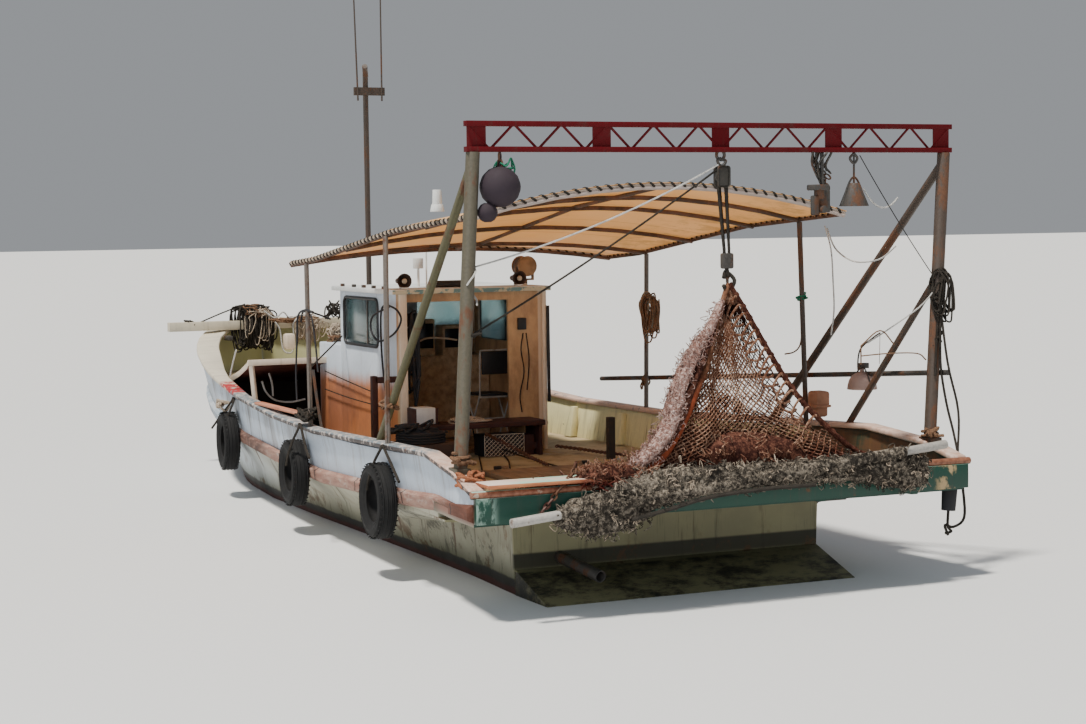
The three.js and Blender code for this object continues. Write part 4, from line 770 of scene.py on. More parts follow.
def spiral(path, radius, pitch, steps=8, start=0.0):  # a line wound round a path
    made = []
    turned = start
    for a, b in zip(path, path[1:]):
        a, b = Vector(a), Vector(b)
        along = (b - a).normalized()
        side = along.orthogonal().normalized()
        other = along.cross(side)
        count = max(1, round((b - a).length / pitch * steps))
        for i in range(count):
            angle = turned + 2 * math.pi * i / steps
            made.append(a.lerp(b, i / count) + (side * math.cos(angle) + other * math.sin(angle)) * radius)
        turned += 2 * math.pi * count / steps
    return made


shortestCord = 0.75  # run length that freeLine tests each free run against


def runLength(spots):
    return sum((Vector(b) - Vector(a)).length for a, b in zip(spots, spots[1:]))


# One loose run of rope, wire or hose
def freeLine(name, paint, radius, spots, stiffness="limp"):
    length = runLength(spots)
    piece = settle(lines([spots], radius, 8), paint, name)
    if length >= shortestCord:
        radius * 2


def atX(x, *spots):  # places in one plane across the boat
    return [(x, y, z) for y, z in spots]


def atY(y, *spots):  # places in one plane along the boat
    return [(x, y, z) for x, z in spots]


def jumble(middle, size, count, steps=5):  # a loose tangle of rope about a point
    spots = [Vector(middle) + Vector([dice.uniform(-s, s) for s in size]) for _ in range(count)]
    return curved(spots, steps)


# CAD nodes that keep their form: merged, their edges rounded, and given a finish
refined = {
    "bulwark_port": ("bulwark", 0.008), "bulwark_starboard": ("bulwark", 0.008),
    "gunwale_cap_port": ("cap", 0.012),
    "gunwale_cap_starboard": ("cap", 0.012), "rub_strake_port": ("strake", 0.01),
    "rub_strake_starboard": ("strake", 0.01),
    "stern_platform": ("green", 0.005), "stern_rail": ("green", 0.006), "stern_extension": ("hull", 0.006),
    "exhaust_pipe": ("iron", 0.003), "gallows_post_port": ("post", 0.003),
    "gallows_post_starboard": ("rustPipe", 0.003),
    "gallows_beam": ("crimson", 0.002), "brace_port": ("olive", 0.0),
    "brace_starboard_long": ("rustPipe", 0.0),
    "brace_starboard_short": ("rustPipe", 0.0), "side_bar": ("iron", 0.0), "shelter_frame": ("frame", 0.0),
    "shelter_pole_port_fore": ("greyPipe", 0.0), "shelter_pole_port_aft": ("greyPipe", 0.0),
    "shelter_pole_starboard_fore": ("greyPipe", 0.0), "shelter_pole_starboard_aft": ("rustPipe", 0.0),
    "wheelhouse_walls": ("house", 0.006), "wheelhouse_roof": ("roof", 0.006),
    "fore_casing": ("house", 0.012),
    "console": ("consolePaint", 0.01), "helm_wheel": ("black", 0.0), "fore_hood": ("hood", 0.012),
    "mast": ("rustPipe", 0.0),
    "fish_hold_lid": ("wood", 0.008), "bow_store_lid": ("hood", 0.008), "trawl_pole": ("silver", 0.003),
    "side_tackle": ("iron", 0.006), "work_lamp_high": ("iron", 0.003),
    "work_bench": ("maroon", 0.006), "fish_box": ("crate", 0.012),
    "bow_beam": ("beam", 0.012), "propeller": ("bronze", 0.003), "rudder": ("bronze", 0.004),
    "engine": ("iron", 0.02),
    "engine_hatch": ("wood", 0.006), "hull": ("hull", 0.0),
    "gallows_floats": ("float", 0.0), "tyre_port_aft": ("tyre", 0.0), "tyre_starboard_aft": ("tyre", 0.0),
    "tyre_port_middle": ("tyre", 0.0), "tyre_starboard_middle": ("tyre", 0.0),
    "tyre_port_fore": ("tyre", 0.0),
    "tyre_starboard_fore": ("tyre", 0.0),
}


def refine(name, paint, width):
    source = nodes[name]
    piece = mergedCopy(source, name + "_dressed", 0.00005)
    bpy.ops.mesh.dissolve_limited(angle_limit=math.radians(1.5))
    leaveEdit()
    if width:
        bevelEdges(piece, width, 38)
    return settle(piece, paint, None, source["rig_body"], 36, [name])


# Cords: the hose coiled on the fish box and the ropes slung over the bow beam
hose = {"middle": (-2.48, 0.70), "low": 0.7455, "inner": 0.128, "pitch": 0.0222, "rings": 4, "layers": 4,
        "diameter": 0.022}


def hoseCoil():
    spots = []
    perTurn = 20
    for layer in range(hose["layers"]):
        for ring in range(hose["rings"]):
            level = hose["low"] + hose["diameter"] * (0.5 + layer)
            order = ring if layer % 2 == 0 else hose["rings"] - 1 - ring
            nextOrder = order + (1 if layer % 2 == 0 else -1)
            last = ring == hose["rings"] - 1
            for i in range(perTurn):
                t = i / perTurn
                ease = max(0.0, (t - 0.7) / 0.3)
                move = 0 if last else (nextOrder - order) * ease
                lift = hose["diameter"] * ease if last else 0
                radius = hose["inner"] + hose["pitch"] * (order + move)
                angle = 2 * math.pi * t
                spots.append((hose["middle"][0] + radius * math.cos(angle),
                              hose["middle"][1] + radius * math.sin(angle), level + lift))
    spots = spots[: -6]
    piece = lines([spots], hose["diameter"] / 2, 10)
    settle(piece, "blackRubber", "deck_hose", replaces=["deck_hose_coil"])


bowBeamX = 3.45
hanks = {
    "mooring_rope_dark": {
        "node": "rope_hank_dark", "paint": "darkRope", "slot": "rope_dark", "y": (0.12, 0.4), "turns": 34,
        "diameter": 0.015,
        "half": (0.078, 0.125), "top": (1.53, 1.645), "low": (1.165, 1.33),
    },
    "mooring_rope_pale": {
        "node": "rope_hank_pale", "paint": "paleRope", "slot": "rope_pale", "y": (-0.405, -0.195),
        "turns": 13, "diameter": 0.014,
        "half": (0.068, 0.088), "top": (1.53, 1.56), "low": (1.205, 1.3),
    },
}


def ropeHank(name, facts):
    spots = []
    perTurn = 18
    turns = facts["turns"]
    sizes = [[dice.uniform(*facts[key]) for key in ("half", "top", "low")] + [dice.uniform(-0.02, 0.02)]
             for _ in range(turns + 1)]
    for turn in range(turns):
        for i in range(perTurn):
            t = i / perTurn
            half, top, low, lean = [a + (b - a) * t for a, b in zip(sizes[turn], sizes[turn + 1])]
            angle = 2 * math.pi * t
            reach = (top - low) / 2
            down = (1 - math.cos(angle)) / 2
            y = facts["y"][0] + (facts["y"][1] - facts["y"][0]) * (turn + t) / turns + lean * down
            spots.append((bowBeamX + half * math.sin(angle), y, (top + low) / 2 + reach * math.cos(angle)))
    piece = lines([spots], facts["diameter"] / 2, 8)
    settle(piece, facts["paint"], name, replaces=[facts["node"]])


setStudio()
bpy.ops.mesh.primitive_plane_add(size=studio["floorSize"])
floor = bpy.context.object
floor.name = "studio_floor"
floor.data.materials.append(paints["floor"])
hoseCoil()
for hankName, hankFacts in hanks.items():
    ropeHank(hankName, hankFacts)
for nodeName, (paintName, bevelWidth) in refined.items():
    refine(nodeName, paintName, bevelWidth)
print("CAD pieces dressed:", len(refined))


# The shelter's cloth, stretched over its ribs and hanging a little between them
cloth = {
    "slope": [(-5.416, 2.56, 0.215), (-4.016, 2.474, 0.175), (-2.165, 2.245, 0.12), (-1.564, 2.205, 0.11)],
    "half": 1.49, "sheet": 0.004, "ribs": (-5.4, -4.716, -3.98, -3.03, -2.14, -1.58), "sag": 0.016,
    "across": 40, "along": 78,
}


def clothHeight(x, y):
    rows = cloth["slope"]
    i = next((k for k in range(1, len(rows) - 1) if x <= rows[k][0]), len(rows) - 1)
    a, b = rows[i - 1], rows[i]
    t = (x - a[0]) / (b[0] - a[0])
    edge, rise = a[1] + (b[1] - a[1]) * t, a[2] + (b[2] - a[2]) * t
    return edge + rise * (1 - (y / cloth["half"]) ** 2)


def shelterCloth():
    bpy.ops.object.select_all(action="DESELECT")
    bpy.ops.mesh.primitive_grid_add(x_subdivisions=cloth["along"], y_subdivisions=cloth["across"], size=2)
    piece = bpy.context.object
    ribs = cloth["ribs"]
    aft, fore = cloth["slope"][0][0], cloth["slope"][-1][0]
    for vertex in piece.data.vertices:
        u, v = (vertex.co.x + 1) / 2, vertex.co.y
        x, y = aft + (fore - aft) * u, v * cloth["half"]
        bay = next((k for k in range(len(ribs) - 1) if x <= ribs[k + 1]), len(ribs) - 2)
        t = min(1, max(0, (x - ribs[bay]) / (ribs[bay + 1] - ribs[bay])))
        dip = cloth["sag"] * 4 * t * (1 - t) * (1 - v ** 4)
        scallop = 0.003 * math.sin(x * 17) * abs(v) ** 8
        vertex.co = (x, y * (1 - 0.008 * 4 * t * (1 - t) * abs(v)),
                     clothHeight(x, y) + 0.004 - dip * 0.7 + scallop)
    thick = piece.modifiers.new("thick", "SOLIDIFY")
    thick.thickness = cloth["sheet"]
    thick.offset = 1
    applied(piece, thick.name)
    settle(piece, "canvas", "shelter_cloth", angle=60, replaces=["shelter_canvas"])


shelterCloth()
print("shelter cloth made")


# Trawl gear at the stern: the hoisted net's open meshes, its rolled border, head rope and shaggy back
hoist = {
    "border": [(-6.037, -0.147, 2.094), (-6.083, -0.058, 1.917), (-6.133, 0.033, 1.722),
               (-6.182, 0.107, 1.534),
               (-6.21, 0.191, 1.427), (-6.261, 0.311, 1.232), (-6.298, 0.428, 1.09), (-6.326, 0.533, 0.981),
               (-6.357, 0.653, 0.885)],
    "bulge": [(-6.067, -0.075, 1.976), (-6.119, 0.07, 1.776), (-6.152, 0.21, 1.649), (-6.208, 0.355, 1.434),
              (-6.264, 0.439, 1.219), (-6.299, 0.533, 1.083), (-6.324, 0.678, 0.989),
              (-6.335, 0.778, 0.945)],
    "head": [(-6.046, -0.150, 2.09), (-6.084, -0.25, 1.911), (-6.146, -0.367, 1.674),
             (-6.204, -0.487, 1.45),
             (-6.252, -0.613, 1.265), (-6.279, -0.714, 1.161), (-6.31, -0.836, 1.041),
             (-6.335, -0.956, 0.948),
             (-6.357, -1.101, 0.885), (-6.37, -1.22, 0.84)],
    "across": 25, "down": 34, "twine": 0.0115, "headRadius": 0.018,
}


def atHeight(path, z):  # the place on a falling path at height z
    for a, b in zip(path, path[1:]):
        if b[2] <= z:
            t = (a[2] - z) / (a[2] - b[2]) if a[2] != b[2] else 0
            return Vector(a).lerp(Vector(b), max(0, min(1, t)))
    return Vector(path[-1])


# Diamond meshes of twine over a surface
def meshGrid(across, down, place, twine, paint, name, keep=None):
    bpy.ops.object.select_all(action="DESELECT")
    bpy.ops.mesh.primitive_grid_add(x_subdivisions=across, y_subdivisions=down, size=2)
    piece = bpy.context.object
    leaveEdit()
    editAll(piece)
    bpy.ops.mesh.select_mode(type="EDGE")
    bpy.ops.mesh.poke()
    bpy.ops.mesh.select_all(action="DESELECT")
    leaveEdit()
    for edge in piece.data.edges:
        a, b = [piece.data.vertices[i].co for i in edge.vertices]
        straight = abs(a.x - b.x) < 1e-5 or abs(a.y - b.y) < 1e-5
        rim = max(abs(a.x + b.x) / 2, abs(a.y + b.y) / 2) > 0.999
        edge.select = straight and not rim
    bpy.ops.object.mode_set(mode="EDIT")
    bpy.ops.mesh.dissolve_edges(use_verts=False)
    leaveEdit()
    for vertex in piece.data.vertices:
        vertex.co = place((vertex.co.x + 1) / 2, (1 - vertex.co.y) / 2)
    if keep:
        pickNothing(piece, "VERT")
        for vertex in piece.data.vertices:
            vertex.select = not keep(vertex.co)
        bpy.ops.object.mode_set(mode="EDIT")
        bpy.ops.mesh.delete(type="VERT")
        leaveEdit()
    wire = piece.modifiers.new("twine", "WIREFRAME")
    wire.thickness = twine
    wire.use_even_offset = False
    wire.use_boundary = True
    applied(piece, wire.name)
    return settle(piece, paint, name, angle=60)


def ripple(u, v, size=1.0):
    long, short = math.sin(9 * u + 4 * v), math.sin(21 * u - 7 * v)
    return size * (0.035 * long + 0.025 * short + 0.02 * math.sin(13 * v + 5 * u))


def curtainPlace(u, v):
    z = 2.09 - 1.215 * v ** 0.9
    a, b = atHeight(hoist["border"], z), atHeight(hoist["head"], z)
    spot = a.lerp(b, u)
    belly = math.sin(math.pi * u) * v
    spot.x += 0.1 * belly + ripple(u, v, v)
    spot.z -= 0.05 * belly * v
    return spot


def backPlace(u, v):
    z = 2.06 - 1.3 * v
    a, b = atHeight(hoist["border"], max(z, 0.9)), atHeight(hoist["head"], max(z, 0.9))
    spot = a.lerp(b, 0.06 + 0.9 * u)
    spot.x += (0.12 + 0.42 * math.sin(math.pi * u) ** 0.7) * v + ripple(u * 1.3, v, v)
    spot.z = z + 0.03 * math.sin(11 * u)
    return spot


def fluffyShape(path, radii, name, paint, rough=0.03, sides=14, rings=5):
    spots = curved(path, rings)
    bpy.ops.object.select_all(action="DESELECT")
    bpy.ops.mesh.primitive_cylinder_add(vertices=sides, radius=1, depth=2, end_fill_type="TRIFAN")
    piece = bpy.context.object
    pickNothing(piece, "EDGE")
    for edge in piece.data.edges:
        a, b = [piece.data.vertices[i].co for i in edge.vertices]
        edge.select = abs(a.z - b.z) > 1
    bpy.ops.object.mode_set(mode="EDIT")
    bpy.ops.mesh.subdivide(number_cuts=len(spots) - 2)
    leaveEdit()
    for vertex in piece.data.vertices:
        k = round((vertex.co.z + 1) / 2 * (len(spots) - 1))
        t = k / (len(spots) - 1) * (len(radii) - 1)
        low = min(int(t), len(radii) - 2)
        across, deep = [a + (b - a) * (t - low) for a, b in zip(radii[low], radii[low + 1])]
        ahead = (spots[min(k + 1, len(spots) - 1)] - spots[max(k - 1, 0)]).normalized()
        outX = Vector((1, 0, 0)) - ahead * ahead.x
        outX.normalize()
        outY = ahead.cross(outX)
        wild = 1 + dice.uniform(-rough, rough) * 6
        vertex.co = spots[k] + (outY * vertex.co.x * across + outX * vertex.co.y * deep) * wild
    faceOutward(piece)
    smooth = piece.modifiers.new("round", "SUBSURF")
    smooth.levels = smooth.render_levels = 1
    applied(piece, smooth.name)
    return settle(piece, paint, name, angle=50)


# Loose ends of twine on a piece
def tufts(host, count, length, radius, paint, name, droop=0.5):
    faces = list(host.data.polygons)
    weights = [f.area for f in faces]
    strands = []
    for face in dice.choices(faces, weights, k=count):
        spot = face.center + Vector([dice.uniform(-0.02, 0.02) for _ in range(3)])
        way = (face.normal + Vector([dice.uniform(-1.4, 1.4) for _ in range(3)])).normalized()
        reach = length * dice.uniform(0.4, 1.1)
        bends = [Vector([dice.uniform(-0.6, 0.6) for _ in range(3)]) for _ in range(3)]
        fall = Vector((0, 0, -droop * 0.4))
        loop = [spot, spot + (way * 0.5 + bends[0]) * reach, spot + (way * 0.4 + bends[1] + fall) * reach,
                spot + (bends[2] + fall) * reach]
        strands.append(curved(loop, 3))
    return settle(tubes(strands, radius, 4), paint, name, angle=30)


def roughened(source, paint, name, voxel, push, scale, replaces=()):  # a lumpy skin over a form
    piece = mergedCopy(source, name, 0.0001)
    leaveEdit()
    skin = piece.modifiers.new("skin", "REMESH")
    skin.mode = "VOXEL"
    skin.voxel_size = voxel
    clouds = bpy.data.textures.new(name + "Clouds", "CLOUDS")
    clouds.noise_scale = scale
    clouds.noise_depth = 4
    lumps = piece.modifiers.new("lumps", "DISPLACE")
    lumps.texture = clouds
    lumps.texture_coords = "LOCAL"
    lumps.strength = push
    lumps.mid_level = 0.55
    applied(piece, "skin", "lumps")
    return settle(piece, paint, name, angle=60, replaces=replaces)


def hoistedNet():
    front = meshGrid(hoist["across"], hoist["down"], curtainPlace, hoist["twine"], "netRed",
                     "hoisted_net_meshes",
                     lambda p: not (p.y < atHeight(hoist["head"], p.z).y + 0.16 and 1.1 < p.z < 1.95
                                    and p.x < -5.9))
    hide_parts("hoisted_net")
    meshGrid(20, 24, backPlace, 0.011, "netHeap", "hoisted_net_back")
    meshGrid(24, 36, lambda u,
             v: curtainPlace(u, v) + Vector((0.045 + 0.03 * math.sin(9 * u + 4 * v), -0.012, -0.014)),
             0.014,
             "netHeap", "hoisted_net_fold", lambda p: p.z < 1.62 - 0.55 * (0.4 - p.y))
    border = [Vector(p) for p in hoist["border"]]
    seam, middle = [[atHeight(hoist["border"], p[2]).lerp(Vector(p), share) for p in hoist["bulge"]]
                    for share in (0.3, 0.8)]
    fluffyShape(seam, [(0.014, 0.02), (0.026, 0.034), (0.034, 0.046), (0.036, 0.052), (0.034, 0.052),
                       (0.03, 0.05), (0.02, 0.034)],
                "net_dark_fold", "netHeap", 0.04, 12, 5)
    fluffyShape([*border, Vector((-6.385, 0.76, 0.845))],
                [(0.016, 0.018), (0.02, 0.024), (0.03, 0.04), (0.042, 0.046), (0.038, 0.042)],
                "net_rolled_border", "netBorder", 0.025, 10, 4)
    fluff = fluffyShape(middle,
                        [(0.016, 0.03), (0.036, 0.05), (0.05, 0.07), (0.054, 0.08), (0.052, 0.08),
                         (0.045, 0.07), (0.035, 0.05)],
                        "net_shaggy_back", "netPale", 0.05, 16, 6)
    tufts(fluff, 800, 0.05, 0.0022, "netPale", "net_shaggy_ends")
    head = curved(hoist["head"], 5)
    ropeParts = [tubes([head], hoist["headRadius"], 8),
                 tubes([spiral(head, hoist["headRadius"], 0.09, 7)], 0.007, 5)]
    settle(joined(ropeParts), "netDark", "net_head_rope")
    rings = []
    for k in range(15):
        z = 1.96 - 0.058 * k
        edge = atHeight(hoist["head"], z)
        size = 0.042 + 0.01 * (k % 3)
        start = edge + Vector((0.01, 0.015, 0))
        middleSpot = edge + Vector((0.03, size * 2.1, -0.05 - 0.03 * dice.random()))
        rings.append(curved([start, edge + Vector((0.0, size, 0.045)), middleSpot,
                             edge + Vector((0.02, size * 1.1, -0.1)), edge + Vector((0.01, 0.012, -0.085))],
                             4))
    settle(tubes(rings, 0.009, 6), "netRed", "net_edge_loops")
    apex = [[Vector((-6.04, -0.145, 2.14)), Vector((-6.03, -0.14, 2.2))],
            curved([(-6.045, -0.11, 2.13), (-6.02, -0.14, 2.17), (-6.05, -0.19, 2.11), (-6.03, -0.15, 2.03),
                    (-6.06, -0.1, 2.08)], 5)]
    settle(tubes(apex, 0.014, 7), "darkRope", "net_apex_knot")


def netRoll():
    along = atX(-6.44, (1.364, 0.662), (1.224, 0.658), (0.999, 0.674), (0.827, 0.727), (0.573, 0.82),
                (0.272, 0.833), (0.055, 0.839), (-0.278, 0.838), (-0.619, 0.837), (-0.966, 0.822),
                (-1.248, 0.804), (-1.46, 0.778))
    sizes = [(0.03, 0.03), (0.11, 0.06), (0.15, 0.08), (0.17, 0.09), (0.115, 0.08), (0.09, 0.075),
             (0.085, 0.07), (0.08, 0.07),
             (0.075, 0.07), (0.09, 0.075), (0.13, 0.08), (0.1, 0.06)]
    core = fluffyShape(along, sizes, "net_roll_core", "netGrey", 0.03, 20, 8)
    sleeve = fluffyShape([(-6.497, 1.345, 0.686), (-6.492, 0.690, 0.748), (-6.487, 0.036, 0.810),
                          (-6.482, -0.618, 0.872), (-6.478, -1.273, 0.934)],
                         [(0.04, 0.04), (0.052, 0.05), (0.05, 0.048), (0.05, 0.048), (0.04, 0.04)],
                         "net_pole_sleeve", "netGrey", 0.02, 14, 8)
    tufts(sleeve, 500, 0.05, 0.0028, "netGrey", "net_pole_ends")
    roll = roughened(core, "netGrey", "net_roll_folds", 0.015, 0.06, 0.05, ["net_roll"])
    bpy.data.objects.remove(core)
    tufts(roll, 1500, 0.05, 0.0028, "netGrey", "net_roll_ends")
    tufts(roll, 420, 0.05, 0.0028, "paleRope", "net_roll_flecks")
    foot = curved(atX(-6.56, (0.86, 0.63), (0.6, 0.675), (0.3, 0.735), (-0.1, 0.762), (-0.5, 0.765)), 5)
    settle(tubes([foot], 0.014, 8), "darkRope", "net_foot_line")
    over = fluffyShape(atX(-6.37, (1.132, 0.893), (0.99, 0.91), (0.811, 0.898), (0.63, 0.887)),
                       [(0.02, 0.04), (0.05, 0.1), (0.06, 0.1), (0.03, 0.05)], "net_over_rail", "netHeap",
                       0.05, 12, 5)
    tufts(over, 300, 0.07, 0.0032, "netRed", "net_over_rail_ends", droop=1.2)
    heap = [(-6.22, 1.0, 0.78), (-6.2, 0.6, 0.88), (-6.14, 0.25, 0.95), (-6.12, -0.3, 0.94),
            (-6.14, -0.8, 0.86), (-6.2, -1.15, 0.79)]
    dark = fluffyShape(heap, [(0.04, 0.06), (0.13, 0.12), (0.18, 0.2), (0.16, 0.24), (0.12, 0.2),
                              (0.04, 0.08)], "net_heap", "netHeap", 0.035, 14, 5)
    tufts(dark, 600, 0.08, 0.0032, "netRed", "net_heap_ends", droop=0.2)


def deckNet():
    heaps = {
        "port": ([(-6.25, 1.62, 0.73), (-6.2, 1.3, 0.76), (-6.15, 0.95, 0.77), (-6.2, 0.75, 0.75)],
                 [(0.03, 0.04), (0.06, 0.1), (0.07, 0.1), (0.03, 0.05)]),
        "forward": ([(-5.2, 0.55, 0.585), (-5.05, 0.15, 0.62), (-4.95, -0.3, 0.64), (-5.0, -0.75, 0.62),
                     (-5.1, -1.05, 0.58)],
                    [(0.02, 0.1), (0.06, 0.2), (0.08, 0.26), (0.07, 0.22), (0.02, 0.08)]),
    }
    for name, (path, radii) in heaps.items():
        heap = fluffyShape(path, radii, "deck_net_" + name, "netHeap", 0.04, 12, 5)
        tufts(heap, 420, 0.09, 0.004, "netRed", "deck_net_ends_" + name, droop=0.1)


hoistedNet()
netRoll()
deckNet()
print("trawl gear made")


# Tackle, chains and lines of the gallows
def chain(path, wire=0.006, link=0.05):
    loops = []
    for a, b in zip(path, path[1:]):
        a, b = Vector(a), Vector(b)
        count = max(1, round((b - a).length / (link * 0.72)))
        ahead = (b - a).normalized()
        side = ahead.orthogonal().normalized()
        for i in range(count):
            middle = a.lerp(b, (i + 0.5) / count)
            wide = side if i % 2 else ahead.cross(side)
            ring = [(math.cos(t * math.pi / 5), math.sin(t * math.pi / 5)) for t in range(10)]
            loops.append([middle + ahead * c * link * 0.5 + wide * s * link * 0.3 for c, s in ring])
    return tubes(loops, wire, 5, True)


gallowsX = -6.0
workLampY = -1.172
gallows = {"upper": (-6.02, -0.117, 2.81), "lower": (-6.02, -0.15, 2.24)}


def hoistTackle():
    top, low = Vector(gallows["upper"]), Vector(gallows["lower"])
    cheeks = [*[blockAt(top, (a, -0.045, -0.075), (b, 0.045, 0.07), 0.02, 3) for a,
                b in ((-0.03, -0.018), (0.018, 0.03))],
              drum((top.x - 0.017, top.y, top.z), (top.x + 0.017, top.y, top.z), 0.052, 20)]
    settle(joined(cheeks), "chain", "hoist_block_upper", replaces=["hoist_tackle"])
    hook = [[(-6.0, -0.117 + 0.03 * math.cos(a), 2.952 + 0.032 * math.sin(a))
             for a in [k * math.pi / 8 for k in range(17)]],
            curved([(-6.005, -0.117, 2.925), (-6.015, -0.15, 2.91), (-6.02, -0.117, 2.875),
                    (-6.015, -0.085, 2.91), (-6.005, -0.117, 2.93)], 4)]
    settle(tubes(hook, 0.011, 7), "iron", "hoist_hook")
    falls = []
    for dx, dy, turn in [(0.012, -0.04, 0.015), (-0.014, -0.016, 0.006), (0.014, 0.014, -0.006),
                         (-0.01, 0.04, -0.016)]:
        falls.append([top + Vector((dx, dy, -0.04)), low + Vector((dx, turn * -1.6, 0.05))])
    settle(joined([tubes(falls, 0.0095, 7), tubes([spiral(f, 0.004, 0.05, 6) for f in falls], 0.0075, 4)]),
           "darkRope", "hoist_falls")
    shell = [blockAt(low, (-0.026, -0.042, -0.05), (0.026, 0.042, 0.055), 0.012)]
    shell += [drum((low.x - 0.031, low.y + dy, low.z + dz), (low.x + 0.031, low.y + dy, low.z + dz), 0.012,
                   10, None, 0.002)
              for dy in (-0.02, 0.02) for dz in (-0.025, 0.028)]
    settle(joined(shell), "iron", "hoist_block_lower")
    settle(chain([low + Vector((0, 0, -0.045)), Vector((-6.035, -0.143, 2.1))], 0.007, 0.05), "chain",
           "hoist_link")


def sideTackle():
    bundle = []
    for k, (y0, y1, low) in enumerate([(-0.83, -0.9, 2.74), (-0.87, -0.96, 2.72), (-0.9, -0.93, 2.76),
                                       (-0.94, -0.88, 2.8), (-0.99, -0.97, 2.84), (-0.85, -0.99, 2.79)]):
        spot = -6.0 + 0.02 * (k % 3 - 1)
        bundle.append(chain(curved([(spot, y0, 2.965), (spot + 0.015, (y0 + y1) / 2 + 0.03, 2.88),
                                    (spot, y1, low)], 3), 0.0065, 0.052))
    settle(joined(bundle), "chain", "side_chains")
    settle(tubes([curved(atX(gallowsX, (workLampY, 2.965), (-1.14, 2.93), (workLampY, 2.895), (-1.2, 2.93),
                             (workLampY, 2.965)), 4)], 0.009, 6),
           "iron", "lamp_hook")


def floatHanger():
    links = [chain([(-6.01, 1.5, 2.965), (-6.012, 1.5, 2.87)], 0.008, 0.055)]
    settle(joined(links), "chain", "float_chain")
    loops = [jumble((-6.01, 1.475, 2.885), (0.035, 0.07, 0.03), 9, 4),
             curved([(-6.01, 1.42, 2.93), (-6.02, 1.4, 2.86), (-6.03, 1.43, 2.8)], 4),
             curved([(-6.02, 1.5, 2.9), (-6.05, 1.47, 2.88), (-6.03, 1.43, 2.93), (-6.0, 1.41, 2.87)], 4)]
    settle(tubes(loops, 0.006, 5), "greenRope", "float_lashing")
    settle(tubes([curved([(-6.01, 1.54, 2.87), (-6.02, 1.575, 2.75), (-6.015, 1.592, 2.65)], 5)], 0.006, 5),
           "darkRope", "float_line")


def postLean(z):  # how far a gallows post leans out at a height
    return 0.119 * (z - 0.945) / 2.025


def gallowsLines():
    white = [hung((-6.02, -0.12, 2.9), (-5.955, 1.657, 2.24), 0.06),
             curved([(-5.955, 1.66, 2.235), (-6.05, 1.7, 2.2), (-6.04, 1.75, 2.13), (-5.95, 1.72, 2.1),
                     (-5.96, 1.66, 2.04), (-6.05, 1.69, 2.0)], 5)]
    settle(tubes(white, 0.0065, 6), "whiteRope", "slack_white_line")
    dark = [hung((-6.02, -0.12, 2.88), (-5.96, 1.68, 1.81), 0.03),
            jumble((-6.0, 1.7, 1.81), (0.05, 0.05, 0.02), 6, 4)]
    settle(tubes(dark, 0.007, 6), "darkRope", "hauling_line")
    lamp = [hung((gallowsX, -1.25, 2.72), (-5.62, -1.79, 2.66), 0.1),
            hung((-6.0, -1.22, 2.95), (-5.96, -1.86, 2.1), 0.02)]
    freeLine("lamp_lead", "whiteRope", 0.006, lamp[0])
    settle(tubes([lamp[1]], 0.004, 5), "darkRope", "lamp_stay")
    post = [Vector((-6.0, -1.8 - postLean(z), z)) for z in (2.15, 1.9, 1.6, 1.4)]
    runs = [[p + Vector((-0.05, 0.02 * math.sin(7 * k), 0)) for k, p in enumerate(post)]]
    runs.append(curved([(-6.05, -1.86, 1.98), (-6.07, -1.84, 1.7), (-6.05, -1.86, 1.45), (-6.06, -1.9, 1.2),
                        (-6.1, -1.93, 1.0), (-6.2, -1.9, 0.84)], 5))
    runs.append(curved([(-6.05, -1.84, 2.0), (-6.1, -1.88, 1.5), (-6.13, -1.95, 1.15),
                        (-6.22, -1.88, 0.84)], 5))
    knots = [jumble((-6.02, -1.85, z), (0.05, 0.05, 0.06), 9, 4) for z in (2.1, 2.0, 1.86, 1.66)]
    for k, run in enumerate(runs):
        freeLine("post_rope_" + str(k), "darkRope", 0.009, run)
    settle(tubes(knots, 0.009, 6), "darkRope", "post_lashings")
    pale = curved([(-6.03, -1.82, 2.0), (-5.98, -1.72, 1.88), (-5.9, -1.5, 1.72), (-5.88, -1.36, 1.64)], 5)
    freeLine("post_white_line", "whiteRope", 0.0055, pale)
    lashes = [spiral([(-6.0, 1.8 - postLean(z), z) for z in (0.99, 1.06)], 0.056, 0.03, 9),
              spiral([(-6.0, -1.8, 0.97), (-6.0, -1.8, 1.02)], 0.056, 0.03, 9)]
    lashes += [jumble((-6.03, side * 1.8, 1.0), (0.08, 0.08, 0.035), 14, 4) for side in (1, -1)]
    settle(tubes(lashes, 0.011, 6), "brownRope", "post_foot_lashings")


hoistTackle()
sideTackle()
floatHanger()
gallowsLines()
print("gallows rigged")


# Shelter: its rolled edges bound with a spiral line, and what is tied to its poles
def clothEdge(start, end, steps=24):
    spots = []
    for i in range(steps + 1):
        x = start[0] + (end[0] - start[0]) * i / steps
        y = start[1] + (end[1] - start[1]) * i / steps
        spots.append(Vector((x, y, clothHeight(x, y) - 0.006)))
    return spots


def shelterEdges():
    corners = [(-5.405, 1.475), (-1.575, 1.475), (-1.575, -1.475), (-5.405, -1.475)]
    edges = [clothEdge(a, b) for a, b in zip(corners, [*corners[1:], corners[0]])]
    settle(tubes(edges, 0.012, 10), "hem", "shelter_hem")
    settle(tubes([spiral(edge, 0.0135, 0.08, 8) for edge in edges], 0.0095, 6), "darkRope",
           "shelter_lacing")
    pale = [spiral(edge, 0.0155, 0.08, 8, 2.2) for edge in (edges[0], edges[2])]
    settle(tubes(pale, 0.0055, 5), "paleRope", "shelter_lacing_pale")


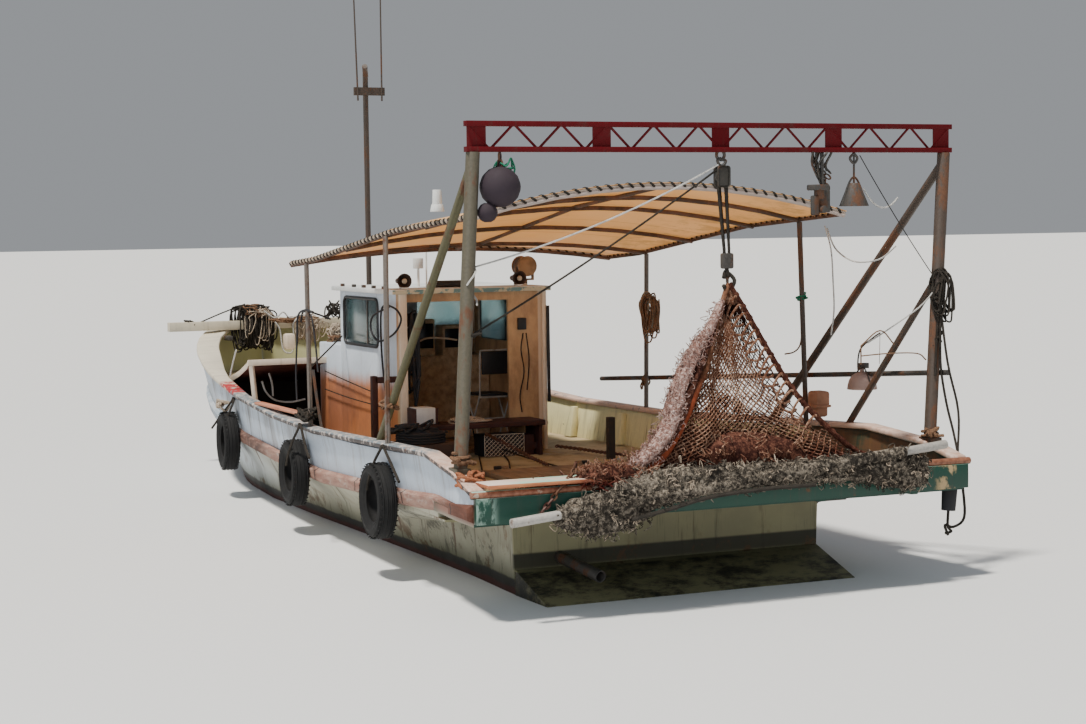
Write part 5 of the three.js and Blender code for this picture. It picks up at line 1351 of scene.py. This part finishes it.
# Runs of rope, wire and hose: paint, radius and the places that each run goes through
tautRuns = ("wall_leads", "slant_line", "side_hose", "bow_taut_lines", "tyre_falls")
strung = {
    "wall_leads": ("darkRope", 0.005, [
        atY(0.69, (-0.076, 1.182), (-0.624, 1.134), (-1.27, 1.08)),
        atY(0.69, (-0.066, 1.016), (-0.748, 0.982), (-1.562, 0.963)),
    ]),
    "wall_cable": ("blackRubber", 0.009, [
        atY(0.72, (-1.856, 1.825), (-1.463, 1.736), (-1.407, 1.614), (-1.575, 1.528), (-1.819, 1.564),
            (-2.036, 1.64), (-2.134, 1.743), (-1.974, 1.821), (-1.688, 1.811), (-1.649, 1.531),
            (-1.704, 1.204), (-1.767, 1.022)),
    ]),
    "pole_loops": ("blackRubber", 0.008, [
        atY(1.53, (-2.29, 1.823), (-2.087, 1.832), (-1.902, 1.777), (-1.862, 1.578), (-1.818, 1.313),
            (-1.829, 1.082)),
        atY(1.48, (-1.824, 1.723), (-1.882, 1.807), (-2.087, 1.782), (-2.176, 1.591), (-2.235, 1.336)),
        [(-2.073, 1.5, 1.822), (-1.779, 1.3, 1.773), (-1.154, 1, 1.708)],
    ]),
    "slant_line": ("darkRope", 0.007, [
        [(-0.595, 0.7, 1.526), (-1.029, 1, 1.417), (-2.068, 1.5, 1.351)],
    ]),
    "side_hose": ("iron", 0.014, [
        atY(1, (-0.664, 1.239), (-0.758, 0.98), (-0.878, 0.725)),
    ]),
    "hood_hose": ("whiteRope", 0.009, [
        atX(0.35, (1.159, 1.084), (1.123, 0.98), (1.038, 0.902), (0.893, 0.876), (0.747, 0.897)),
        atX(0.35, (1.09, 1.155), (1.063, 1.052), (1.056, 0.94)),
    ]),
    "bow_taut_lines": ("darkRope", 0.008, [
        atX(3.45, (0.38, 1.678), (0.636, 1.59), (0.867, 1.501)),
        atX(3.3, (0.241, 1.529), (0.179, 1.346), (0.139, 1.151)),
    ]),
    "bow_white_lines": ("whiteRope", 0.008, [
        atX(3.2, (0.129, 1.487), (0.076, 1.4), (0.057, 1.239), (0.025, 1.163), (-0.052, 1.16),
            (-0.078, 1.287), (-0.07, 1.448), (-0.116, 1.522)),
        atY(1.36, (0.484, 1.371), (0.592, 1.254), (0.701, 1.117)),
        atX(3.3, (0.217, 1.603), (0.097, 1.525), (0.006, 1.586), (-0.07, 1.52), (-0.183, 1.548),
            (-0.318, 1.523)),
    ]),
    "tyre_falls": ("darkRope", 0.011, [
        [(-1.93, 1.55, 0.893), (-2.206, 1.64, 0.897), (-2.166, 1.68, 0.79),
         (-2.152, 1.72, 0.67), (-2.155, 1.74, 0.582)],
        [(-1.956, 1.55, 0.896), (-2.257, 1.64, 0.901), (-2.473, 1.68, 0.778),
         (-2.688, 1.72, 0.697)],
        [(-4.182, 1.66, 0.94), (-4.432, 1.76, 0.94), (-4.392, 1.8, 0.839),
         (-4.365, 1.83, 0.725), (-4.346, 1.84, 0.637)],
        [(-4.202, 1.66, 0.942), (-4.493, 1.76, 0.946), (-4.754, 1.8, 0.847),
         (-4.965, 1.83, 0.761)],
        [(0.619, 1.36, 0.917), (0.481, 1.42, 0.892), (0.65, 1.46, 0.77), (0.86, 1.5, 0.623)],
        [(0.586, 1.36, 0.919), (0.417, 1.42, 0.888), (0.452, 1.46, 0.766), (0.458, 1.5, 0.62)],
    ]),
    "deck_wires": ("darkRope", 0.007, [
        [(-1.765, -0.035, 0.9), (-1.823, -0.036, 0.75), (-1.92, -0.039, 0.57),
         (-3.136, 0.441, 0.57), (-3.734, 0.686, 0.57)],
        [(-1.936, -0.236, 0.56), (-2.524, -0.052, 0.56), (-3.05, 0.161, 0.56)],
        [(-1.827, -0.116, 0.66), (-2.314, -0.163, 0.6), (-3.039, -0.187, 0.57),
         (-3.516, -0.191, 0.57)],
    ]),
    "aft_corner_lines": ("whiteRope", 0.006, [
        atY(-1.5, (-5.106, 2.461), (-5.187, 2.285), (-5.212, 2.065), (-5.224, 1.846), (-5.182, 1.66)),
        [(-5.133, -1.5, 2.446), (-5.241, -1.5, 2.3), (-5.44, -1.5, 2.215),
         (-5.648, -1.5, 2.203), (-5.552, -1.7, 2.227), (-5.657, -1.75, 2.313)],
    ]),
    "pole_tie_line": ("brownRope", 0.006, [
        atY(-1.55, (-4.697, 1.675), (-4.667, 1.559), (-4.579, 1.502), (-4.447, 1.479)),
    ]),
    "stern_loops": ("darkRope", 0.01, [
        atX(-6.45, (1.102, 0.759), (1.074, 0.681), (1.025, 0.639), (0.982, 0.7), (1.003, 0.765)),
        atX(-6.2, (-1.9, 0.82), (-1.94, 0.6), (-1.95, 0.4), (-1.86, 0.34), (-1.787, 0.358),
            (-1.813, 0.285)),
        atX(-6.2, (-1.815, 0.46), (-1.81, 0.35), (-1.84, 0.31), (-1.79, 0.3)),
    ]),
    "helm_white_hose": ("paleRope", 0.008, [
        atX(-1.5, (0.356, 0.942), (0.361, 1.219), (0.347, 1.451), (0.272, 1.525), (0.124, 1.529),
            (-0.034, 1.506)),
    ]),
    "panel_wires": ("darkRope", 0.006, [
        atX(-1.94, (-0.465, 1.571), (-0.444, 1.426), (-0.469, 1.236), (-0.429, 1.04), (-0.445, 0.893)),
        atX(-1.94, (-0.493, 1.57), (-0.518, 1.337), (-0.495, 1.08)),
    ]),
}
chained = {
    "deck_chain": (0.006, 0.042, [
        [(-2.65, 0.195, 0.8), (-2.511, 0.012, 0.72), (-2.634, -0.077, 0.66),
         (-2.979, -0.065, 0.62), (-3.332, -0.043, 0.6)],
        [(-2.092, -0.692, 0.6), (-2.414, -0.765, 0.6), (-2.709, -0.808, 0.6),
         (-3.018, -0.885, 0.6)],
    ]),
    "rail_chain": (0.007, 0.05, [
        [(-6.3, 1.125, 0.981), (-6.33, 1.162, 0.916), (-6.41, 1.292, 0.837),
         (-6.41, 1.348, 0.771), (-6.41, 1.419, 0.7)],
    ]),
}


def stringLines():
    for name, (paint, radius, runs) in strung.items():
        if name in tautRuns:
            settle(tubes([curved(run, 5) for run in runs], radius, 7), paint, name)
            continue
        for k, run in enumerate(runs):
            freeLine(name + "_" + str(k), paint, radius, curved(run, 5),
                     "stiff" if paint == "blackRubber" else "limp")
    for name, (wire, link, runs) in chained.items():
        settle(joined([chain(run, wire, link) for run in runs]), "rustChain", name)


# Knots and bundles of rope: middle, half size, number of turns, rope radius and paint
loosePiles = ("hood_rope_pile", "bench_clutter", "bow_tangle", "jamb_hangings")
bundles = {
    "post_foot_bundle": [((-6.150, 1.795, 0.893), (0.07, 0.075, 0.055), 44, 0.011, "orangeRope")],
    "brace_lashing": [((-4.3, 1.65, 1.235), (0.075, 0.055, 0.035), 26, 0.009, "brownRope")],
    "pole_knots": [((-2.1, 1.53, 0.99), (0.16, 0.07, 0.05), 34, 0.011, "darkRope"),
                   ((-2.29, -1.5, 1.86), (0.03, 0.04, 0.03), 16, 0.008, "brownRope"),
                   ((-2.16, -1.52, 1.12), (0.04, 0.04, 0.06), 18, 0.008, "brownRope"),
                   ((-4.74, -1.53, 1.93), (0.035, 0.045, 0.035), 18, 0.008, "greenRope"),
                   ((0.62, 1.47, 0.86), (0.12, 0.05, 0.06), 22, 0.012, "paleRope")],
    "bow_tangle": [((3.3, -0.1, 1.5), (0.1, 0.3, 0.03), 30, 0.007, "brownRope"),
                   ((3.4, 0.3, 1.6), (0.08, 0.12, 0.07), 40, 0.007, "brownRope"),
                   ((3.45, 1.0, 1.5), (0.05, 0.05, 0.03), 16, 0.008, "darkRope")],
    "hood_rope_pile": [((0.08, 0.5, 1.53), (0.05, 0.1, 0.08), 90, 0.006, "paleRope"),
                       ((0.05, 0.5, 1.47), (0.07, 0.12, 0.03), 50, 0.006, "brownRope")],
    "jamb_hangings": [((-1.84, 0.5, 1.4), (0.03, 0.05, 0.42), 34, 0.011, "blackRubber")],
    "hood_netting": [((0.25, 0.48, 1.72), (0.08, 0.08, 0.09), 40, 0.007, "darkRope")],
    "bench_clutter": [((-2.1, 0.15, 0.87), (0.12, 0.2, 0.02), 26, 0.007, "paleRope"),
                      ((-2.45, 0.75, 0.86), (0.2, 0.25, 0.04), 26, 0.012, "blackRubber")],
    "rail_knot": [((-6.28, 0.98, 0.86), (0.09, 0.16, 0.05), 44, 0.01, "rustChain")],
}


def tieBundles():
    for name, heaps in bundles.items():
        for k, (middle, size, turns, radius, paint) in enumerate(heaps):
            if name in loosePiles:
                freeLine(name + "_" + str(k), paint, radius, jumble(middle, size, turns, 4), "limp")
            else:
                settle(tubes([jumble(middle, size, turns, 4)], radius, 6), paint, name + "_" + str(k))


# Fittings of rounded blocks, with paint, slot, bevel and corners, and of drums, with paint, slot and ends
fittings = {
    "jamb_boards": ("hood", "house_white", 0.004, [
        ((-1.935, 0.59, 0.56), (-1.9, 0.655, 1.93)), ((-1.935, -0.69, 0.56), (-1.9, -0.655, 1.93)),
    ]),
    "port_upright": ("maroon", "pipe_rust", 0.006, [
        ((-1.98, 0.875, 0.552), (-1.92, 0.925, 1.26)), ((-1.98, 0.665, 1.2), (-1.93, 0.9, 1.25)),
    ]),
    "helm_white_box": ("white", "house_white", 0.008,
                       [((-1.3, 0.3, 1.5), (-1.22, 0.47, 1.62)),
                        ((-2.205, 0.455, 0.858), (-2.03, 0.625, 0.995))]),
    "panel_switch": ("black", "black_rubber", 0.006,
                     [((-1.94, -0.5, 1.6), (-1.917, -0.42, 1.7)),
                      ((-0.9, 0.02, 1.58), (-0.83, 0.24, 1.72))]),
    "roof_fasteners": ("iron", "iron", 0.003,
                       [((x - 0.02, 0.69, 1.9705), (x + 0.02, 0.72, 1.995))
                        for x in (-1.7, -1.45, -1.2, -0.95, -0.65)]),
    "hood_jug": ("hood", "house_white", 0.03, [((2.95, -0.02, 1.2), (3.06, 0.1, 1.37))]),
    "rail_top_board": ("railTop", "platform_green", 0.01, [((-6.425, 0.62, 0.865), (-6.2, 1.79, 0.893))]),
    "cap_plank": ("pinkWood", "wood_brown", 0.006, [((-1.72, 1.37, 0.932), (-0.35, 1.45, 0.955))]),
    "stern_knee": ("iron", "hull_cream", 0.006, [((-5.62, -1.35, 0.5), (-5.46, -1.1, 0.615))]),
    "lamp_bracket": ("iron", "iron", 0.003, [((-5.17, -1.84, 1.4), (-5.13, -1.76, 1.44))]),
    "cap_pot": ("terracotta", "topside_white", 0.02,
                [((-4.87, -1.69, 1.1), (-4.73, -1.57, 1.215)), ((-4.86, -1.68, 1.02), (-4.74, -1.58, 1.11)),
                 ((-4.88, -1.7, 1.09), (-4.72, -1.56, 1.115))]),
    "console_screens": ("screen", "black_rubber", 0.004,
                        [((-0.838, -0.4, 1.4), (-0.832, -0.19, 1.57)),
                         ((-0.808, -0.09, 1.4), (-0.802, 0.07, 1.62))]),
    "console_knobs": ("red", "black_rubber", 0.006,
                      [((-0.56, 0.52, 1.6), (-0.52, 0.57, 1.65)),
                       ((-0.87, 0.5, 1.345), (-0.82, 0.53, 1.4))]),
    "bow_cleats": ("iron", "iron", 0.008,
                   [((2.3, 0.36, 0.955), (2.34, 0.64, 1.06)), ((3.1, 0.62, 1.31), (3.25, 0.68, 1.36))]),
}
rounds = {
    "beacon": ("white", "house_white",
               [((-4.9, 1.49, 2.6), (-4.9, 1.49, 2.65), 0.05, 0.04),
                ((-4.9, 1.49, 2.65), (-4.9, 1.49, 2.75), 0.034, 0.03)]),
    "stern_fender": ("blackRubber", "black_rubber",
                     [((-6.2, -1.828, 0.63), (-6.2, -1.815, 0.46), 0.056, 0.05)]),
    "roof_roll": ("black", "black_rubber", [((-1.85, 0.32, 2.005), (-1.85, 0.02, 2.005), 0.03, 0.03)]),
    "searchlight_rim": ("brass", "iron",
                        [((-1.79, -0.581, 2.138), (-1.8, -0.581, 2.138), 0.088, 0.088),
                         ((-1.645, -0.581, 2.138), (-1.66, -0.581, 2.138), 0.088, 0.088)]),
    "horn_cores": ("paleMetal", "iron",
                   [((-1.95, 0.615, 2.04), (-1.965, 0.615, 2.04), 0.024, 0.018),
                    ((-1.95, -0.434, 2.04), (-1.965, -0.434, 2.04), 0.024, 0.018)]),
    "grab_pipe": ("black", "iron", [((-1.94, -0.7, 1.8), (-1.95, -0.7, 0.97), 0.015, 0.015)]),
    "helm_levers": ("iron", "iron",
                    [((-1.9, -0.6, 1.18), (-1.86, -0.44, 0.9), 0.011, 0.011),
                     ((-1.0, 0.45, 1.33), (-1.02, 0.45, 1.55), 0.009, 0.009)]),
}


def smallFittings():
    for name, (paint, slot, bevel, boxes) in fittings.items():
        settle(joined([block(low, high, bevel) for low, high in boxes]), paint, name)
    for name, (paint, slot, shapes) in rounds.items():
        settle(joined([drum(a, b, r, 24, end, 0.003) for a, b, r, end in shapes]), paint, name)


# Windows: a rubber seal round each opening and a pane in it
panes = {
    "side": {"x": (-1.44, -0.575), "z": (1.465, 1.875), "radius": 0.06, "at": (0.664, -0.664)},
    "front": {"y": (0.06, 0.57), "z": (1.48, 1.84), "radius": 0.05, "at": -0.456},
}


def roundedLoop(a, b, radius, place):
    spots = []
    for k, (ca, cb) in enumerate([(a[1], b[1]), (a[0], b[1]), (a[0], b[0]), (a[1], b[0])]):
        middleA = ca + (-radius if ca == a[1] else radius)
        middleB = cb + (-radius if cb == b[1] else radius)
        spots += [place(middleA + radius * math.cos(t), middleB + radius * math.sin(t))
                  for t in [math.pi / 2 * (k + i / 5) for i in range(6)]]
    return spots


def windowSet():
    side, front = panes["side"], panes["front"]
    loops = []
    for y in side["at"]:
        loops.append(roundedLoop(side["x"], side["z"], side["radius"], lambda a,
                                 b: (a, y + math.copysign(0.004, y), b)))
    for s in (1, -1):
        across = sorted(s * v for v in front["y"])
        loops.append(roundedLoop(across, front["z"], front["radius"], lambda a,
                                 b: (front["at"] + 0.004, a, b)))
    settle(tubes(loops, 0.014, 8, True), "black", "window_seals")
    barX = side["x"][0] + 0.3
    inner = [tubes([[(barX, y * 0.985, z) for z in side["z"]]], 0.008, 6) for y in side["at"]]
    settle(joined(inner), "iron", "window_bars")
    glass = [block((side["x"][0], y * 0.975 - 0.003, side["z"][0]),
                   (side["x"][1], y * 0.975 + 0.003, side["z"][1]), 0.002) for y in side["at"]]
    for s in (1, -1):
        low, high = sorted(s * v for v in front["y"])
        glass.append(block((-0.48, low, front["z"][0]), (-0.474, high, front["z"][1]), 0.002))
    settle(joined(glass), "glass", "window_panes")


# Folding chair at the helm, in place of the solid one
chair = {"y": (-0.51, -0.22), "back": (-1.565, 1.41), "seat": (-1.57, -1.25, 1.0), "floor": 0.592,
         "tube": 0.008}


def foldingChair():
    aft, fore, level = chair["seat"]
    runs = []
    for y in chair["y"]:
        runs.append([(chair["back"][0], y, chair["back"][1]), (aft + 0.02, y, level + 0.02),
                     (fore - 0.02, y, chair["floor"])])
        runs.append([(fore, y, level + 0.01), (fore - 0.1, y, level - 0.12),
                     (aft + 0.02, y, chair["floor"])])
    low, high = chair["y"]
    runs += [[(chair["back"][0], low, chair["back"][1]), (chair["back"][0], high, chair["back"][1])],
             [(fore, low, level), (fore, high, level)],
             [(aft + 0.02, low, level), (aft + 0.02, high, level)],
             [(-1.42, low, 0.8), (-1.42, high, 0.8)]]
    settle(joined([tubes([run], chair["tube"], 8) for run in runs]), "silver", "folding_chair",
           replaces=["helm_chair"])
    pads = [block((aft + 0.01, low + 0.01, level + 0.008), (fore - 0.01, high - 0.01, level + 0.03), 0.008),
            block((-1.585, low + 0.01, 1.2), (-1.565, high - 0.01, 1.4), 0.008)]
    settle(joined(pads), "black", "chair_boards")


# Bulwark ribs and drain slots, following the side's slope; the slots are black plates painted as the
# openings' shade
sideTable = [(-5.3, 1.762, 0.964, 1.683, 0.533), (-4.6, 1.715, 0.925, 1.65, 0.515),
             (-3.6, 1.648, 0.885, 1.6, 0.5),
             (-2.4, 1.57, 0.855, 1.52, 0.49), (-1.0, 1.476, 0.863, 1.43, 0.49),
             (0.3, 1.387, 0.925, 1.335, 0.5),
             (1.3, 1.305, 1.02, 1.23, 0.51), (1.88, 1.245, 1.09, 1.13, 0.515)]


def sideAt(x, z):  # outer half breadth of the side
    k = next((i for i in range(1, len(sideTable)) if x <= sideTable[i][0]), len(sideTable) - 1)
    a, b = sideTable[k - 1], sideTable[k]
    t = (x - a[0]) / (b[0] - a[0])
    topY, topZ, lowY, lowZ = [p + (q - p) * t for p, q in zip(a[1:], b[1:])]
    return lowY + (topY - lowY) * (z - lowZ) / (topZ - lowZ)


rib = {"first": -4.45, "pitch": 0.86, "count": 7, "low": 0.56, "half": 0.034, "deep": 0.06, "inset": 0.062,
       "flare": 1.4}
drain = {"at": (-4.6, -3.9, -3.1, -2.55, -0.8, -0.5, 0.6), "z": (0.585, 0.65), "half": 0.012, "deep": 0.002}


def bulwarkRibs():
    ribs = []
    for s in (1, -1):
        for k in range(rib["count"]):
            x = rib["first"] + rib["pitch"] * k
            top = 0.83 if x < 0.3 else 0.9
            tall = top - rib["low"]
            foot, head = sideAt(x, rib["low"]) - rib["inset"], sideAt(x, top) - rib["inset"]
            piece = block((x - rib["half"], -rib["deep"], 0), (x + rib["half"], 0, tall), 0.008)
            for vertex in piece.data.vertices:
                up = vertex.co.z / tall
                wide = 1 + rib["flare"] * (1 - up) ** 3
                y = foot + (head - foot) * up + vertex.co.y * (1.3 - 0.5 * up)
                vertex.co = (x + (vertex.co.x - x) * wide, s * y, 0.556 + vertex.co.z)
            if s < 0:
                faceOutward(piece)
            ribs.append(piece)
    settle(joined(ribs), "rib", "bulwark_ribs")
    # drain slots: thin black plates on the inner face, painted shade standing for the openings
    slots = []
    for s in (1, -1):
        for x in drain["at"]:
            y = sideAt(x, 0.62) - 0.0615
            low, high = sorted((s * y, s * (y - drain["deep"])))
            slots.append(block((x - drain["half"], low, drain["z"][0]),
                               (x + drain["half"], high, drain["z"][1]), 0.0008, 1))
    settle(joined(slots), "black", "drain_slots")


# Tyres: rings round the tread and the outer side, and short bars over both shoulders
treadRings = [(0.2695, -0.045), (0.2695, -0.015), (0.2695, 0.015), (0.2695, 0.045), (0.245, 0.066),
              (0.2, 0.063), (0.172, 0.055)]
tyreSpots = {"aft": (-4.369, 0.56), "middle": (-1.952, 0.5), "fore": (0.56, 0.525)}


def tyreTreads():
    for side, board in ((1, "port"), (-1, "starboard")):
        for place, (x, z) in tyreSpots.items():
            bounds = nodes["tyre_" + board + "_" + place].bound_box
            low, high = Vector(bounds[0]), Vector(bounds[6])
            middle = (low + high) / 2
            slope = (sideAt(x + 0.3, z) - sideAt(x - 0.3, z)) / 0.6
            wide = Vector((-slope, 1, 0)).normalized() * side
            ahead = Vector((1, slope, 0)).normalized()
            ahead.y *= side
            circle = [ahead * math.cos(t) + Vector((0, 0, 1)) * math.sin(t)
                      for t in [math.pi * i / 24 for i in range(48)]]
            loops = [[middle + wide * offset + out * radius for out in circle] for radius,
                     offset in treadRings]
            bars = []
            for i in range(40):
                t = math.pi * i / 20
                out = ahead * math.cos(t) + Vector((0, 0, 1)) * math.sin(t)
                for a, b in ((-0.066, -0.05), (0.05, 0.066)):
                    bars.append([middle + wide * a + out * 0.263, middle + wide * b + out * 0.2665])
            settle(joined([tubes(loops, 0.0045, 4, True), tubes(bars, 0.0045, 4)]), "tyre",
                   "tyre_tread_" + board + "_" + place)


def bellLamp():
    arms = [curved(atY(-1.79, (-5.25, 1.25), (-5.24, 1.33), (-5.15, 1.42), (-5.06, 1.33), (-5.05, 1.25)),
                   5),
            curved([(-5.15, -1.79, 1.42), (-5.233, -1.7, 1.4), (-5.261, -1.7, 1.546), (-5.4, -1.72, 1.64),
                    (-5.524, -1.7, 1.683)], 5)]
    settle(tubes(arms, 0.006, 6), "iron", "lamp_arms")
    bars = [(-0.1, 2.61), (-0.045, 2.75), (0.0, 2.8), (0.045, 2.75), (0.1, 2.61)]
    cage = [curved([(gallowsX, workLampY + dy, z) for dy, z in bars], 5)]
    settle(tubes(cage, 0.007, 6), "iron", "lamp_cage_high")


def lampArms():
    arms = [atX(gallowsX, (-1.225, 1.559), (-1.457, 1.568), (-1.692, 1.559), (-1.768, 1.511)),
            atX(gallowsX, (-1.225, 1.63), (-1.383, 1.731), (-1.501, 1.629)),
            atX(gallowsX, (-1.225, 1.63), (-1.225, 1.5))]
    settle(tubes([curved(run, 5) for run in arms[:2]] + arms[2:], 0.005, 6), "brownRope", "lamp_arms_low")
    settle(tubes([atX(gallowsX, (-1.383, 1.714), (-1.377, 1.499))], 0.0025, 5), "iron", "lamp_wire")


lampSpot = (-5.15, -1.79)


def lampShade():
    shape = [(1.372, 0.02), (1.364, 0.05), (1.345, 0.078), (1.315, 0.097), (1.28, 0.107), (1.245, 0.112)]
    rings = [drum((*lampSpot, a[0]), (*lampSpot, b[0]), a[1], 24, b[1], 0) for a,
             b in zip(shape, shape[1:])]
    rings.append(drum((*lampSpot, 1.41), (*lampSpot, 1.365), 0.016, 12))
    settle(joined(rings), "lampPink", "lamp_shade_low", replaces=["work_lamp_low"])


def tacklePlates():
    spot = (-6.06, -0.819, 2.61)
    parts = [blockAt(spot, (-0.012, -0.032, -0.07), (0.004, 0.036, 0.065), 0.012, 3),
             drum((spot[0] - 0.03, spot[1] - 0.058, spot[2] - 0.03),
                  (spot[0] + 0.05, spot[1] - 0.058, spot[2] - 0.03), 0.026, 20),
             blockAt(spot, (-0.03, -0.1, 0.1), (0.08, 0.02, 0.14), 0.01),
             blockAt(spot, (-0.01, -0.075, 0.04), (0.05, -0.02, 0.12), 0.01)]
    settle(joined(parts), "iron", "side_tackle_plates")


# Loops of rope hung over the bow beam and the poles: x, y span, top, low, width, count, radius, paint
hungLoops = {
    "bow_loops_dark": (3.42, (0.12, 0.5), 1.65, 1.2, 0.06, 44, 0.0075, "darkRope"),
    "bow_loops_pale": (3.36, (0.1, 0.4), 1.62, 1.25, 0.05, 9, 0.005, "paleRope"),
    "bow_loops_right": (3.3, (-0.45, -0.1), 1.52, 1.28, 0.04, 12, 0.006, "paleRope"),
    "pole_loops_pale": (-2.3, (-1.52, -1.46), 1.9, 1.56, 0.035, 16, 0.006, "paleRope"),
    "pole_loops_brown": (-2.33, (-1.53, -1.45), 1.88, 1.5, 0.045, 12, 0.007, "brownRope"),
    "post_loops": (-6.04, (-1.9, -1.83), 2.15, 1.8, 0.03, 14, 0.0065, "darkRope"),
}


def hangLoops():
    for name, (x, span, top, low, width, count, radius, paint) in hungLoops.items():
        spots = []
        for _ in range(count):
            y, lean = dice.uniform(*span), dice.uniform(-0.05, 0.05)
            head = top + dice.uniform(-0.04, 0.02)
            foot = low + dice.uniform(-0.03, 0.12)
            half = width * dice.uniform(0.4, 1.2)
            deep = dice.uniform(0.01, 0.05)
            turn = [(0, 0, head), (deep, half, head - 0.05), (deep, half * 0.9, (head + foot) / 2),
                    (0, half * 0.5, foot + 0.03), (-deep, 0, foot),
                    (-deep, -half * 0.6, foot + 0.04), (-deep, -half, (head + foot) / 2 + 0.03),
                    (-deep, -half * 0.7, head - 0.05)]
            spots += [(x + a, y + b + lean * (head - c) / (head - foot), c) for a, b, c in turn]
        freeLine(name, paint, radius, curved(spots, 3), "limp")


def perforatedCrate():
    # black block inside the lattice: painted shade of the crate's inside, seen through its holes
    core = block((-2.2, -0.34, 0.556), (-1.97, 0.02, 0.735), 0.01)
    settle(core, "black", "crate_shade_core")
    meshGrid(9, 5, lambda u, v: Vector((-2.207, 0.02 - 0.36 * u, 0.738 - 0.18 * v)), 0.0065, "hood",
             "crate_lattice")


shelterEdges()
stringLines()
tieBundles()
smallFittings()
windowSet()
foldingChair()
bulwarkRibs()
tyreTreads()
bellLamp()
lampArms()
lampShade()
tacklePlates()
hangLoops()
perforatedCrate()
print("fittings and lines made")
